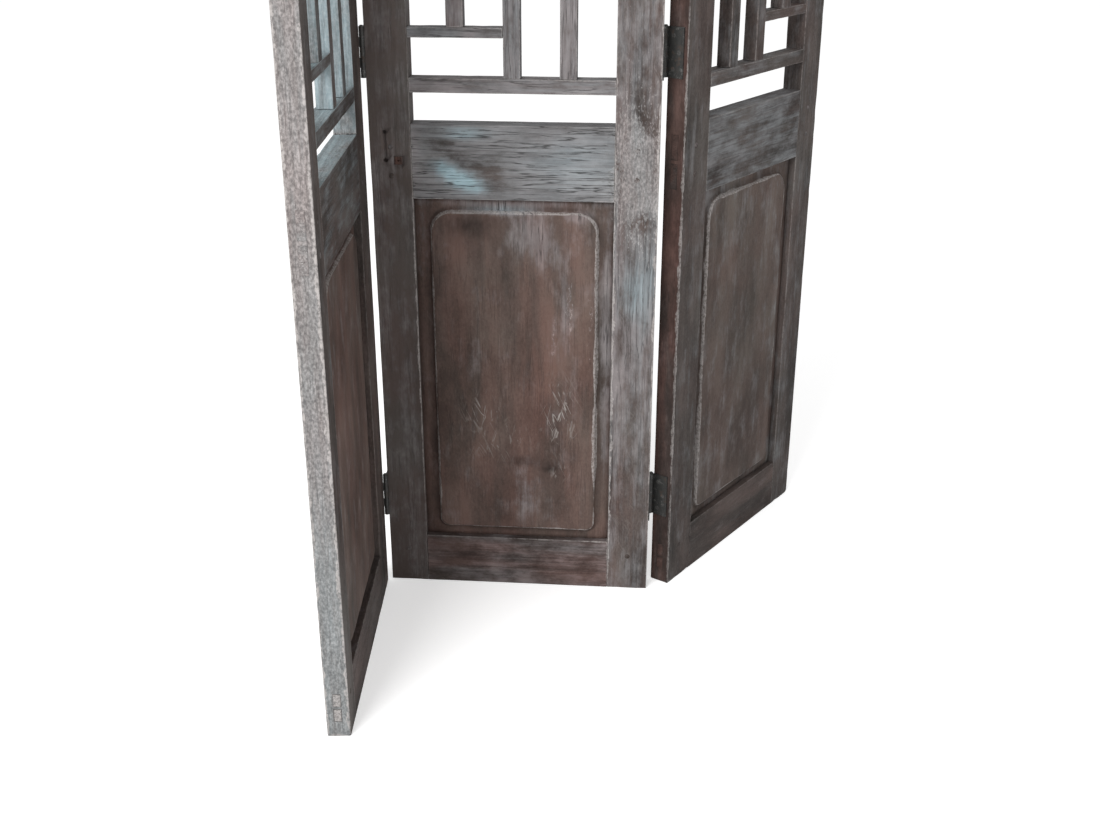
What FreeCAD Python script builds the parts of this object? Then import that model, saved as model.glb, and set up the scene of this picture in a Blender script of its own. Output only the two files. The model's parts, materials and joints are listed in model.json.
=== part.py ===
import FreeCAD, Part
import os
import re
import Sketcher

# A three-leaf folding screen of old framed wood. Each leaf is a frame of two stiles and
# three rails with a fielded board below and an open lattice above. Butt hinges join the
# leaves: the left leaf folds forward, the right leaf folds back.
# Frame: origin on the floor under the middle of the centre leaf, +X to the right seen from
# the front, +Y to the back, +Z up. Lengths in millimetres, angles in degrees.

SIZES = {
    # leaf and fold
    "leaf_width": 450,
    "leaf_thickness": 35,
    "fold_gap": 5,
    "left_fold_angle": 94,
    "right_fold_angle": 58,
    # stiles, as wide as the old shutters left them
    "left_outer_stile": 50,
    "left_inner_stile": 74,
    "centre_left_stile": 65,
    "centre_right_stile": 69,
    "right_inner_stile": 73,
    "right_outer_stile": 65,
    # heights from the floor up
    "bottom_rail_height": 90,
    "board_opening_height": 600,
    "lock_rail_height": 117,
    "lower_slot_height": 48,
    "lattice_rail_height": 22,
    "cell_height": 59.5,
    "crossbar_height": 15.5,
    "upper_slot_height": 48,
    "top_rail_height": 73.5,
    # frame joints
    "tenon_thickness": 12,
    "tenon_shoulder": 16,
    "tenon_split": 6,
    "bottom_tenon_low": 26,
    "bottom_tenon_height": 22,
    "bottom_tenon_split": 3.5,
    "joint_clearance": 0.15,
    "peg_radius": 4.5,
    "peg_clearance": 0.05,
    # fielded board
    "groove_width": 10,
    "groove_depth": 11,
    "board_clearance": 0.2,
    "board_end_gap": 2,
    "field_rise": 7.5,
    "field_bevel_angle": 30,
    "field_side_margin": 22,
    "field_top_margin": 18,
    "field_bottom_margin": 15,
    "field_top_radius": 36,
    "field_bottom_radius": 18,
    # lattice
    "upright_width": 26,
    "lattice_rail_depth": 30,
    "lattice_bar_depth": 24,
    "lattice_setback": 1.5,
    "stub_thickness": 8,
    "stub_length": 8,
    "stub_shoulder": 3,
    "stub_end_gap": 0.5,
    # hinges
    "hinge_height": 76,
    "hinge_end_offset": 131,
    "pin_standoff": 4,
    "knuckle_radius": 4,
    "knuckle_gap": 0.3,
    "pin_radius": 2.2,
    "pin_clearance": 0.05,
    "pin_head_radius": 3.4,
    "pin_head_height": 2,
    "leaf_plate_thickness": 2,
    "leaf_plate_reach": 28,
    "screw_near_row": 10,
    "screw_far_row": 20,
    "screw_end_inset": 13,
    "screw_head_radius": 3.6,
    "screw_shank_radius": 1.6,
    "screw_length": 20,
    "screw_tip_gap": 0.5,
    "screw_clearance": 0.05,
    # remains of an old latch on the centre leaf
    "latch_hole_inset": 24,
    "latch_lower_drop": 57,
    "latch_upper_drop": 13,
    "latch_hole_radius": 3.5,
    "latch_hole_depth": 9,
    "latch_groove_width": 4,
    "latch_groove_depth": 2.5,
    "latch_plug_inset": 44,
    "latch_plug_side": 13,
    "latch_plug_depth": 9,
    "latch_nail_radius": 1.6,
}

# Sizes that follow from the driving ones.
DERIVED = {
    "board_low": "bottom_rail_height",
    "lock_rail_low": "board_low + board_opening_height",
    "lock_rail_high": "lock_rail_low + lock_rail_height",
    "lattice_low": "lock_rail_high + lower_slot_height + lattice_rail_height",
    "lattice_high": "lattice_low + lattice_rows * cell_height + (lattice_rows - 1) * crossbar_height",
    "top_rail_low": "lattice_high + lattice_rail_height + upper_slot_height",
    "leaf_height": "top_rail_low + top_rail_height",
    "tenon_front": "(leaf_thickness - tenon_thickness) / 2",
    "tenon_back": "(leaf_thickness + tenon_thickness) / 2",
    "groove_front": "(leaf_thickness - groove_width) / 2",
    "groove_back": "(leaf_thickness + groove_width) / 2",
    "board_front": "groove_front + board_clearance",
    "board_back": "groove_back - board_clearance",
    "board_tongue": "groove_depth - board_end_gap",
    "bar_back": "lattice_setback + lattice_bar_depth",
    "stub_front": "lattice_setback + (lattice_bar_depth - stub_thickness) / 2",
    "stub_back": "stub_front + stub_thickness",
    "stub_reach": "stub_length + stub_end_gap",
    "plate_inside": "fold_gap / 2 - leaf_plate_thickness",
    "pilot_radius": "screw_shank_radius + screw_clearance",
    "half_gap": "fold_gap / 2",
    "latch_lower_height": "lock_rail_high - latch_lower_drop",
    "latch_upper_height": "lock_rail_high - latch_upper_drop",
}

# The lattice rows of a leaf's two halves, from the bottom up: w is one wide cell, n is two narrow
# cells with an upright between them. The right leaf has the halves the other way round.
LEFT_HALF = "wnnnnwnnnnw"
RIGHT_HALF = "nnnwnnnwnnn"
LATTICE_ROWS = len(LEFT_HALF)
# The hinge knuckles from the bottom up: c is on the centre leaf's plate, o on the outer leaf's.
KNUCKLES = "cococ"
# The width of a pin head's flat crown as a share of the head.
PIN_CROWN_SHARE = 0.6
QUARTER_TURN = 90
FULL_TURN = 360

doc = FreeCAD.newDocument("folding_screen")
sheet = doc.addObject("Spreadsheet::Sheet", "Sizes")
for row, (alias, number) in enumerate(SIZES.items(), start=1):
    sheet.set(f"A{row}", alias)
    sheet.set(f"B{row}", str(number))
    sheet.setAlias(f"B{row}", alias)
doc.recompute()

nodes = []


def formula(text):
    """Writes a formula of plain size names as one on the sheet's cells."""
    def spell(match):
        word = match.group(0)
        if word in SIZES:
            return f"Sizes.{word}"
        if word in DERIVED:
            return f"({formula(DERIVED[word])})"
        if word == "lattice_rows":
            return str(LATTICE_ROWS)
        return word
    return re.sub(r"[a-z_]+", spell, str(text))


def value(text):
    """The present number of a formula."""
    return float(sheet.evalExpression(formula(text)))


def bind(thing, **properties):
    for name, text in properties.items():
        thing.setExpression(name, formula(text))


# Where each leaf stands: its fold, its pivot, and its front lower left corner seen from
# the pivot with the screen laid flat.
LEAVES = {
    "left": {
        "turn": "left_fold_angle",
        "pivot": ("-leaf_width / 2 - half_gap", "-leaf_thickness / 2 - pin_standoff"),
        "corner": ("-leaf_width - half_gap", "pin_standoff"),
        "stiles": ("left_outer_stile", "left_inner_stile"),
    },
    "centre": {
        "turn": "0",
        "pivot": ("0", "0"),
        "corner": ("-leaf_width / 2", "-leaf_thickness / 2"),
        "stiles": ("centre_left_stile", "centre_right_stile"),
    },
    "right": {
        "turn": "right_fold_angle",
        "pivot": ("leaf_width / 2 + half_gap", "leaf_thickness / 2 + pin_standoff"),
        "corner": ("half_gap", "-leaf_thickness - pin_standoff"),
        "stiles": ("right_inner_stile", "right_outer_stile"),
    },
}


def place(piece, leaf, along="0", depth="0", up="0"):
    """Puts a piece at a spot of a leaf, measured from the leaf's front lower left corner."""
    stand = LEAVES[leaf]
    turn = f"({stand['turn']}) * 1 deg"
    across = f"({stand['corner'][0]} + {along})"
    back = f"({stand['corner'][1]} + {depth})"
    piece.setExpression("Placement.Base.x",
                        formula(f"{stand['pivot'][0]} + cos({turn}) * {across} - sin({turn}) * {back}"))
    piece.setExpression("Placement.Base.y",
                        formula(f"{stand['pivot'][1]} + sin({turn}) * {across} + cos({turn}) * {back}"))
    piece.setExpression("Placement.Base.z", formula(up))
    piece.setExpression("Placement.Rotation.Angle", formula(stand["turn"]))


def keep(piece, name):
    piece.Label = name
    nodes.append(piece)


def new_body(name):
    return doc.addObject("PartDesign::Body", name)


def new_sketch(body, plane, offset=None):
    """A sketch on one of the body's own planes, moved along the plane's normal."""
    sketch = body.newObject("Sketcher::SketchObject", "Sketch")
    origin = next(f for f in body.Origin.OriginFeatures if f.Role == plane)
    sketch.AttachmentSupport = [(origin, "")]
    sketch.MapMode = "FlatFace"
    if offset is not None:
        sketch.setExpression("AttachmentOffset.Base.z", formula(offset))
    return sketch


def fix(sketch, kind, geometry, point, text):
    """Holds a point at a formula's distance from the sketch's origin."""
    rule = sketch.addConstraint(Sketcher.Constraint(kind, -1, 1, geometry, point, value(text)))
    sketch.setExpression(f"Constraints[{rule}]", formula(text))


def rectangle(sketch, left, low, right, high):
    spots = [(left, low), (right, low), (right, high), (left, high)]
    corners = [FreeCAD.Vector(value(x), value(y), 0) for x, y in spots]
    first = sketch.GeometryCount
    for side in range(4):
        sketch.addGeometry(Part.LineSegment(corners[side], corners[(side + 1) % 4]), False)
    for side in range(4):
        after = first + (side + 1) % 4
        sketch.addConstraint(Sketcher.Constraint("Coincident", first + side, 2, after, 1))
        level = "Vertical" if side % 2 else "Horizontal"
        sketch.addConstraint(Sketcher.Constraint(level, first + side))
    for corner in (0, 2):
        fix(sketch, "DistanceX", first + corner, 1, spots[corner][0])
        fix(sketch, "DistanceY", first + corner, 1, spots[corner][1])


def circle(sketch, across, up, radius):
    centre = FreeCAD.Vector(value(across), value(up), 0)
    ring = sketch.addGeometry(Part.Circle(centre, FreeCAD.Vector(0, 0, 1), value(radius)), False)
    fix(sketch, "DistanceX", ring, 3, across)
    fix(sketch, "DistanceY", ring, 3, up)
    rule = sketch.addConstraint(Sketcher.Constraint("Radius", ring, value(radius)))
    sketch.setExpression(f"Constraints[{rule}]", formula(radius))


def polygon(sketch, spots):
    """A closed outline of straight sides through points given by formulas."""
    points = [FreeCAD.Vector(value(x), value(y), 0) for x, y in spots]
    count = len(spots)
    first = sketch.GeometryCount
    for side in range(count):
        sketch.addGeometry(Part.LineSegment(points[side], points[(side + 1) % count]), False)
    for side in range(count):
        after = first + (side + 1) % count
        sketch.addConstraint(Sketcher.Constraint("Coincident", first + side, 2, after, 1))
        fix(sketch, "DistanceX", first + side, 1, spots[side][0])
        fix(sketch, "DistanceY", first + side, 1, spots[side][1])


def rounded_rectangle(sketch, left, low, right, high, low_radius, high_radius):
    """A rectangle with round corners, tighter or wider below than above, as lines and tangent arcs."""
    x = (value(left), value(right))
    y = (value(low), value(high))
    below, above = value(low_radius), value(high_radius)
    bends = (below, below, above, above)
    middles = [(x[0] + below, y[0] + below), (x[1] - below, y[0] + below),
               (x[1] - above, y[1] - above), (x[0] + above, y[1] - above)]
    first = sketch.GeometryCount
    for corner in range(4):
        start = FreeCAD.Units.Quantity(f"{(corner + 2) * QUARTER_TURN} deg").getValueAs("rad").Value
        end = FreeCAD.Units.Quantity(f"{(corner + 3) * QUARTER_TURN} deg").getValueAs("rad").Value
        ring = Part.Circle(FreeCAD.Vector(*middles[corner], 0), FreeCAD.Vector(0, 0, 1), bends[corner])
        sketch.addGeometry(Part.ArcOfCircle(ring, start, end), False)
    lines = first + 4
    for corner in range(4):
        after = (corner + 1) % 4
        run = Part.LineSegment(sketch.getPoint(first + corner, 2), sketch.getPoint(first + after, 1))
        sketch.addGeometry(run, False)
    for corner in range(4):
        after = (corner + 1) % 4
        sketch.addConstraint(Sketcher.Constraint("Tangent", first + corner, 2, lines + corner, 1))
        sketch.addConstraint(Sketcher.Constraint("Tangent", lines + corner, 2, first + after, 1))
        level = "Vertical" if corner % 2 else "Horizontal"
        sketch.addConstraint(Sketcher.Constraint(level, lines + corner))
    for corner, radius in ((first, low_radius), (first + 2, high_radius)):
        sketch.addConstraint(Sketcher.Constraint("Equal", corner, corner + 1))
        rule = sketch.addConstraint(Sketcher.Constraint("Radius", corner, value(radius)))
        sketch.setExpression(f"Constraints[{rule}]", formula(radius))
    fix(sketch, "DistanceY", lines, 1, low)
    fix(sketch, "DistanceX", lines + 1, 1, right)
    fix(sketch, "DistanceY", lines + 2, 1, high)
    fix(sketch, "DistanceX", lines + 3, 1, left)


def pad(body, sketch, length):
    solid = body.newObject("PartDesign::Pad", "Pad")
    solid.Profile = sketch
    bind(solid, Length=length)
    return solid


def pocket(body, sketch, length=None, other_way=False):
    """Cuts against the sketch's normal, or along it the other way; no length cuts through."""
    cut = body.newObject("PartDesign::Pocket", "Pocket")
    cut.Profile = sketch
    cut.Reversed = other_way
    if length is None:
        cut.Type = "ThroughAll"
    else:
        bind(cut, Length=length)
    return cut


def box(low, high):
    """A block between two corners given by formulas."""
    block = doc.addObject("Part::Box", "Block")
    bind(block, Length=f"{high[0]} - ({low[0]})", Width=f"{high[1]} - ({low[1]})",
         Height=f"{high[2]} - ({low[2]})")
    for axis, text in zip("xyz", low):
        block.setExpression(f"Placement.Base.{axis}", formula(text))
    return block


def group(members):
    bundle = doc.addObject("Part::Compound", "Group")
    bundle.Links = members
    return bundle


def join(first, second):
    both = doc.addObject("Part::Fuse", "Joined")
    both.Base = first
    both.Tool = second
    return both


def cut_away(stock, tools):
    left = doc.addObject("Part::Cut", "Cut")
    left.Base = stock
    left.Tool = tools
    return left


# Frame joints: each rail's through tenons, as (lowest, highest) formulas from the floor.
BOTTOM_TENONS = (
    ("bottom_tenon_low", "bottom_tenon_low + bottom_tenon_height"),
    ("bottom_tenon_low + bottom_tenon_height + bottom_tenon_split",
     "bottom_tenon_low + 2 * bottom_tenon_height + bottom_tenon_split"),
)
LOCK_TENONS = (
    ("lock_rail_low + tenon_shoulder", "lock_rail_low + (lock_rail_height - tenon_split) / 2"),
    ("lock_rail_low + (lock_rail_height + tenon_split) / 2", "lock_rail_high - tenon_shoulder"),
)
TOP_TENONS = (
    ("top_rail_low + tenon_shoulder", "leaf_height - tenon_shoulder"),
)
RAILS = {
    "bottom_rail": ("0", "bottom_rail_height", BOTTOM_TENONS),
    "lock_rail": ("lock_rail_low", "lock_rail_high", LOCK_TENONS),
    "top_rail": ("top_rail_low", "leaf_height", TOP_TENONS),
}
# A peg goes through the middle of each tenon but the lowest.
PEG_HEIGHTS = {
    name: [f"(({low}) + ({high})) / 2" for low, high in tenons if low != "bottom_tenon_low"]
    for name, (_, _, tenons) in RAILS.items()
}
ALL_PEG_HEIGHTS = sum(PEG_HEIGHTS.values(), [])
LATTICE_RAILS = {
    "lower_lattice_rail": ("lattice_low - lattice_rail_height", "lattice_low"),
    "upper_lattice_rail": ("lattice_high", "lattice_high + lattice_rail_height"),
}


def row_low(number):
    return f"(lattice_low + {number - 1} * (cell_height + crossbar_height))"


def row_high(number):
    return f"({row_low(number)} + cell_height)"


def wide_rows(leaf):
    """The numbers of the rows with one wide cell, in the left and in the right half of a leaf."""
    halves = (RIGHT_HALF, LEFT_HALF) if leaf == "right" else (LEFT_HALF, RIGHT_HALF)
    return [[row for row, cell in enumerate(half, start=1) if cell == "w"] for half in halves]


def bar_rows(rows):
    """The rows above which a crossbar lies, for a half with these wide rows."""
    below = [row - 1 for row in rows if row > 1]
    above = [row for row in rows if row < LATTICE_ROWS]
    return sorted(below + above)


def upright_spans(rows):
    """The first and last row of each upright that stands between the wide cells."""
    spans = []
    start = 1
    for row in rows + [LATTICE_ROWS + 1]:
        if row > start:
            spans.append((start, row - 1))
        start = row + 1
    return spans


def leaf_opening(leaf):
    left, right = LEAVES[leaf]["stiles"]
    return f"(leaf_width - {left} - {right})"


def upright_left(leaf, number):
    """Where the first, second or third upright begins, from the leaf's left edge."""
    left = LEAVES[leaf]["stiles"][0]
    gap = f"(({leaf_opening(leaf)} - 3 * upright_width) / 4)"
    return f"({left} + {number} * {gap} + {number - 1} * upright_width)"


def hinge_lows():
    return {
        "lower": "hinge_end_offset",
        "middle": "(leaf_height - hinge_height) / 2",
        "upper": "leaf_height - hinge_end_offset - hinge_height",
    }


def screw_spots():
    """Each screw of a hinge leaf: depth from the leaf's hinged face, height in the hinge."""
    return (
        ("screw_near_row", "screw_end_inset"),
        ("screw_far_row", "hinge_height / 2"),
        ("screw_near_row", "hinge_height - screw_end_inset"),
    )


# The four edges that carry hinges: leaf, side of the leaf, and whether the pin is in front.
HINGED_EDGES = {
    ("left", 1): True,
    ("centre", 0): True,
    ("centre", 1): False,
    ("right", 0): False,
}


def screw_depth(in_front, row):
    return row if in_front else f"(leaf_thickness - {row})"


def make_stile(leaf, side):
    """A stile with its inner edge at x = 0, mortised for rails and lattice, grooved for the board."""
    width = LEAVES[leaf]["stiles"][side]
    outward = f"-{width}" if side == 0 else width
    body = new_body("Stile")
    profile = new_sketch(body, "XY_Plane")
    rectangle(profile, *((outward, "0", "0") if side == 0 else ("0", "0", outward)), "leaf_thickness")
    pad(body, profile, "leaf_height")

    groove = new_sketch(body, "YZ_Plane")
    rectangle(groove, "groove_front", "board_low - groove_depth",
              "groove_back", "lock_rail_low + groove_depth")
    pocket(body, groove, "groove_depth", side == 1)

    mortises = new_sketch(body, "YZ_Plane")
    for _, _, tenons in RAILS.values():
        for low, high in tenons:
            rectangle(mortises, "tenon_front - joint_clearance", f"{low} - joint_clearance",
                      "tenon_back + joint_clearance", f"{high} + joint_clearance")
    pocket(body, mortises, None, side == 1)

    stubs = new_sketch(body, "YZ_Plane")
    for low, high in LATTICE_RAILS.values():
        rectangle(stubs, "stub_front - joint_clearance", f"{low} + stub_shoulder - joint_clearance",
                  "stub_back + joint_clearance", f"{high} - stub_shoulder + joint_clearance")
    for row in bar_rows(wide_rows(leaf)[side]):
        rectangle(stubs, "stub_front - joint_clearance", f"{row_high(row)} + stub_shoulder - joint_clearance",
                  "stub_back + joint_clearance", f"{row_low(row + 1)} - stub_shoulder + joint_clearance")
    pocket(body, stubs, "stub_reach", side == 1)

    holes = new_sketch(body, "XZ_Plane")
    for height in ALL_PEG_HEIGHTS:
        circle(holes, f"{outward} / 2", height, "peg_radius + peg_clearance")
    pocket(body, holes)

    if (leaf, side) in HINGED_EDGES:
        in_front = HINGED_EDGES[(leaf, side)]
        pilots = new_sketch(body, "YZ_Plane", outward)
        for low in hinge_lows().values():
            for row, up in screw_spots():
                circle(pilots, screw_depth(in_front, row), f"{low} + {up}", "pilot_radius")
        pocket(body, pilots, "screw_length", side == 0)

    if (leaf, side) == ("centre", 0):
        cut_latch_seat(body, outward)

    spot = width if side == 0 else f"(leaf_width - {width})"
    place(body, leaf, spot)
    return body


def cut_latch_seat(body, outward):
    """The old latch's two bolt holes, the rubbed groove between them and the square plug's seat."""
    holes = new_sketch(body, "XZ_Plane")
    for height in ("latch_lower_height", "latch_upper_height"):
        circle(holes, f"{outward} + latch_hole_inset", height, "latch_hole_radius")
    pocket(body, holes, "latch_hole_depth")
    groove = new_sketch(body, "XZ_Plane")
    rectangle(groove, f"{outward} + latch_hole_inset - latch_groove_width / 2", "latch_lower_height",
              f"{outward} + latch_hole_inset + latch_groove_width / 2", "latch_upper_height")
    pocket(body, groove, "latch_groove_depth")
    seat = new_sketch(body, "XZ_Plane")
    half = "(latch_plug_side / 2 + joint_clearance)"
    rectangle(seat, f"{outward} + latch_plug_inset - {half}", f"latch_lower_height - {half}",
              f"{outward} + latch_plug_inset + {half}", f"latch_lower_height + {half}")
    pocket(body, seat, "latch_plug_depth")


def make_latch_plug():
    """The square plug with its nail hole, centred on the nail."""
    body = new_body("Plug")
    outline = new_sketch(body, "XZ_Plane", "-latch_plug_depth")
    rectangle(outline, "-latch_plug_side / 2", "-latch_plug_side / 2",
              "latch_plug_side / 2", "latch_plug_side / 2")
    pad(body, outline, "latch_plug_depth")
    nail = new_sketch(body, "XZ_Plane")
    circle(nail, "0", "0", "latch_nail_radius")
    pocket(body, nail, "latch_plug_depth / 2")
    place(body, "centre", "latch_plug_inset", "0", "latch_lower_height")
    return body


def make_rail(leaf, name):
    """A rail between the stiles with through tenons, grooved where it meets the board."""
    low, high, tenons = RAILS[name]
    left, right = LEAVES[leaf]["stiles"]
    opening = leaf_opening(leaf)
    height = f"({high} - ({low}))"
    body = new_body("Rail")
    profile = new_sketch(body, "YZ_Plane")
    if name == "bottom_rail":
        polygon(profile, [
            ("0", "0"), ("leaf_thickness", "0"), ("leaf_thickness", height), ("groove_back", height),
            ("groove_back", f"{height} - groove_depth"), ("groove_front", f"{height} - groove_depth"),
            ("groove_front", height), ("0", height)])
    elif name == "lock_rail":
        polygon(profile, [
            ("0", "0"), ("groove_front", "0"), ("groove_front", "groove_depth"),
            ("groove_back", "groove_depth"), ("groove_back", "0"), ("leaf_thickness", "0"),
            ("leaf_thickness", height), ("0", height)])
    else:
        rectangle(profile, "0", "0", "leaf_thickness", height)
    pad(body, profile, opening)

    tongues = new_sketch(body, "YZ_Plane", f"-{left}")
    for tenon_low, tenon_high in tenons:
        rectangle(tongues, "tenon_front", f"{tenon_low} - ({low})", "tenon_back", f"{tenon_high} - ({low})")
    pad(body, tongues, "leaf_width")

    holes = new_sketch(body, "XZ_Plane")
    for height in PEG_HEIGHTS[name]:
        circle(holes, f"-{left} / 2", f"{height} - ({low})", "peg_radius + peg_clearance")
        circle(holes, f"{opening} + {right} / 2", f"{height} - ({low})", "peg_radius + peg_clearance")
    pocket(body, holes)
    place(body, leaf, left, "0", low)
    return body


def make_field_board(leaf):
    """The board in its grooves: a sunk margin all round a raised field with round corners."""
    left = LEAVES[leaf]["stiles"][0]
    opening = leaf_opening(leaf)
    body = new_body("Board")
    tongue = new_sketch(body, "XZ_Plane", "-board_back")
    rectangle(tongue, "-board_tongue", "-board_tongue",
              f"{opening} + board_tongue", "board_opening_height + board_tongue")
    pad(body, tongue, "board_back - board_front")
    field = new_sketch(body, "XZ_Plane", "-board_front")
    rounded_rectangle(field, "field_side_margin", "field_bottom_margin",
                      f"{opening} - field_side_margin", "board_opening_height - field_top_margin",
                      "field_bottom_radius", "field_top_radius")
    raised = pad(body, field, "field_rise")
    bind(raised, TaperAngle="-field_bevel_angle")
    place(body, leaf, left, "0", "board_low")
    return body


def make_lattice_rail(leaf, name):
    """A rail above or below the lattice, with stub tenons and mortises for the uprights."""
    low, high = LATTICE_RAILS[name]
    left = LEAVES[leaf]["stiles"][0]
    opening = leaf_opening(leaf)
    body = new_body("LatticeRail")
    profile = new_sketch(body, "YZ_Plane")
    rectangle(profile, "0", "0", "lattice_rail_depth", "lattice_rail_height")
    pad(body, profile, opening)
    tongue = new_sketch(body, "YZ_Plane", "-stub_length")
    rectangle(tongue, "stub_front", "stub_shoulder", "stub_back", "lattice_rail_height - stub_shoulder")
    pad(body, tongue, f"{opening} + 2 * stub_length")

    lower = name == "lower_lattice_rail"
    end_row = 1 if lower else LATTICE_ROWS
    halves = wide_rows(leaf)
    standing = [2]
    if end_row not in halves[0]:
        standing.append(1)
    if end_row not in halves[1]:
        standing.append(3)
    mortises = new_sketch(body, "XY_Plane", "lattice_rail_height" if lower else "0")
    for number in standing:
        start = f"({upright_left(leaf, number)} - {left})"
        rectangle(mortises, f"{start} + stub_shoulder - joint_clearance", "stub_front - joint_clearance",
                  f"{start} + upright_width - stub_shoulder + joint_clearance", "stub_back + joint_clearance")
    pocket(body, mortises, "stub_reach", not lower)
    place(body, leaf, left, "0", low)
    return body


def make_crossbars(leaf):
    """The short level bars, each from a stile to the middle upright, mortised for its upright."""
    left, right = LEAVES[leaf]["stiles"]
    middle = upright_left(leaf, 2)
    ends = ((left, middle), (f"({middle} + upright_width)", f"(leaf_width - {right})"))
    bars = []
    tongues = []
    mortises = []
    for side, number in ((0, 1), (1, 3)):
        rows = wide_rows(leaf)[side]
        start, end = ends[side]
        upright = upright_left(leaf, number)
        for row in bar_rows(rows):
            low = row_high(row)
            high = row_low(row + 1)
            bars.append(box((start, "lattice_setback", low), (end, "bar_back", high)))
            tongues.append(box((f"{start} - stub_length", "stub_front", f"{low} + stub_shoulder"),
                               (f"{end} + stub_length", "stub_back", f"{high} - stub_shoulder")))
            upright_above = row in rows
            seat_low = f"{high} - stub_reach" if upright_above else low
            seat_high = high if upright_above else f"{low} + stub_reach"
            mortises.append(box(
                (f"{upright} + stub_shoulder - joint_clearance", "stub_front - joint_clearance", seat_low),
                (f"{upright} + upright_width - stub_shoulder + joint_clearance",
                 "stub_back + joint_clearance", seat_high)))
    bundle = cut_away(join(group(bars), group(tongues)), group(mortises))
    place(bundle, leaf)
    return bundle


def make_uprights(leaf):
    """The middle upright over the whole height and the shorter ones between the wide cells."""
    halves = wide_rows(leaf)
    spans = [(2, 1, LATTICE_ROWS)]
    spans += [(1, first, last) for first, last in upright_spans(halves[0])]
    spans += [(3, first, last) for first, last in upright_spans(halves[1])]
    bars = []
    tongues = []
    for number, first, last in spans:
        start = upright_left(leaf, number)
        low = row_low(first)
        high = row_high(last)
        end = f"{start} + upright_width"
        bars.append(box((start, "lattice_setback", low), (end, "bar_back", high)))
        tongues.append(box((f"{start} + stub_shoulder", "stub_front", f"{low} - stub_length"),
                           (f"{end} - stub_shoulder", "stub_back", f"{high} + stub_length")))
    middle = upright_left(leaf, 2)
    edges = ((middle, f"{middle} + stub_reach"),
             (f"{middle} + upright_width - stub_reach", f"{middle} + upright_width"))
    mortises = []
    for side in (0, 1):
        start, end = edges[side]
        for row in bar_rows(halves[side]):
            low = f"{row_high(row)} + stub_shoulder - joint_clearance"
            high = f"{row_low(row + 1)} - stub_shoulder + joint_clearance"
            mortises.append(box((start, "stub_front - joint_clearance", low),
                                (end, "stub_back + joint_clearance", high)))
    bundle = cut_away(join(group(bars), group(tongues)), group(mortises))
    place(bundle, leaf)
    return bundle


def make_pegs(leaf):
    """The round pegs that lock the tenons, flush with both faces of the leaf."""
    left, right = LEAVES[leaf]["stiles"]
    pegs = []
    for across in (f"{left} / 2", f"leaf_width - {right} / 2"):
        for height in ALL_PEG_HEIGHTS:
            peg = doc.addObject("Part::Cylinder", "Peg")
            bind(peg, Radius="peg_radius", Height="leaf_thickness")
            peg.Placement.Rotation = FreeCAD.Rotation(FreeCAD.Vector(1, 0, 0), -QUARTER_TURN)
            peg.setExpression("Placement.Base.x", formula(across))
            peg.setExpression("Placement.Base.z", formula(height))
            pegs.append(peg)
    bundle = group(pegs)
    place(bundle, leaf)
    return bundle


def make_hinge_leaf(across_sign, back_sign, owner):
    """A hinge leaf with its pin axis on the z axis: plate, knuckles and countersunk holes."""
    body = new_body("HingeLeaf")
    plate = new_sketch(body, "XY_Plane")
    near, far = sorted((f"{across_sign} * plate_inside", f"{across_sign} * half_gap"), key=value)
    front, back = sorted(("0", f"{back_sign} * (pin_standoff + leaf_plate_reach)"), key=value)
    rectangle(plate, near, front, far, back)
    pad(body, plate, "hinge_height")
    barrel = new_sketch(body, "XY_Plane")
    circle(barrel, "0", "0", "knuckle_radius")
    pad(body, barrel, "hinge_height")
    bore = new_sketch(body, "XY_Plane")
    circle(bore, "0", "0", "pin_radius + pin_clearance")
    pocket(body, bore, None, True)

    knuckle = f"(hinge_height / {len(KNUCKLES)})"
    room = "(knuckle_radius + knuckle_gap)"
    gaps = new_sketch(body, "YZ_Plane")
    for number, letter in enumerate(KNUCKLES):
        if letter == owner:
            continue
        low = f"{number} * {knuckle} - knuckle_gap / 2"
        high = f"{number + 1} * {knuckle} + knuckle_gap / 2"
        rectangle(gaps, f"-{room}", low, room, high)
    passage = pocket(body, gaps)
    passage.Midplane = True

    holes = new_sketch(body, "YZ_Plane", f"{across_sign} * plate_inside")
    for row, up in screw_spots():
        circle(holes, f"{back_sign} * (pin_standoff + {row})", up, "screw_head_radius")
    sink = pocket(body, holes, "leaf_plate_thickness", across_sign > 0)
    sink.setExpression("TaperAngle", formula(
        "-atan((screw_head_radius - pilot_radius) / leaf_plate_thickness)"))
    return body


def make_pin():
    """A hinge pin with a low crowned head, standing on the z axis."""
    body = new_body("Pin")
    profile = new_sketch(body, "XZ_Plane")
    polygon(profile, [
        ("0", "0"), ("pin_radius", "0"), ("pin_radius", "hinge_height"), ("pin_head_radius", "hinge_height"),
        (f"pin_head_radius * {PIN_CROWN_SHARE}", "hinge_height + pin_head_height"),
        ("0", "hinge_height + pin_head_height")])
    turned = body.newObject("PartDesign::Revolution", "Revolution")
    turned.Profile = profile
    turned.ReferenceAxis = (profile, ["V_Axis"])
    turned.Angle = FULL_TURN
    return body


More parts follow.
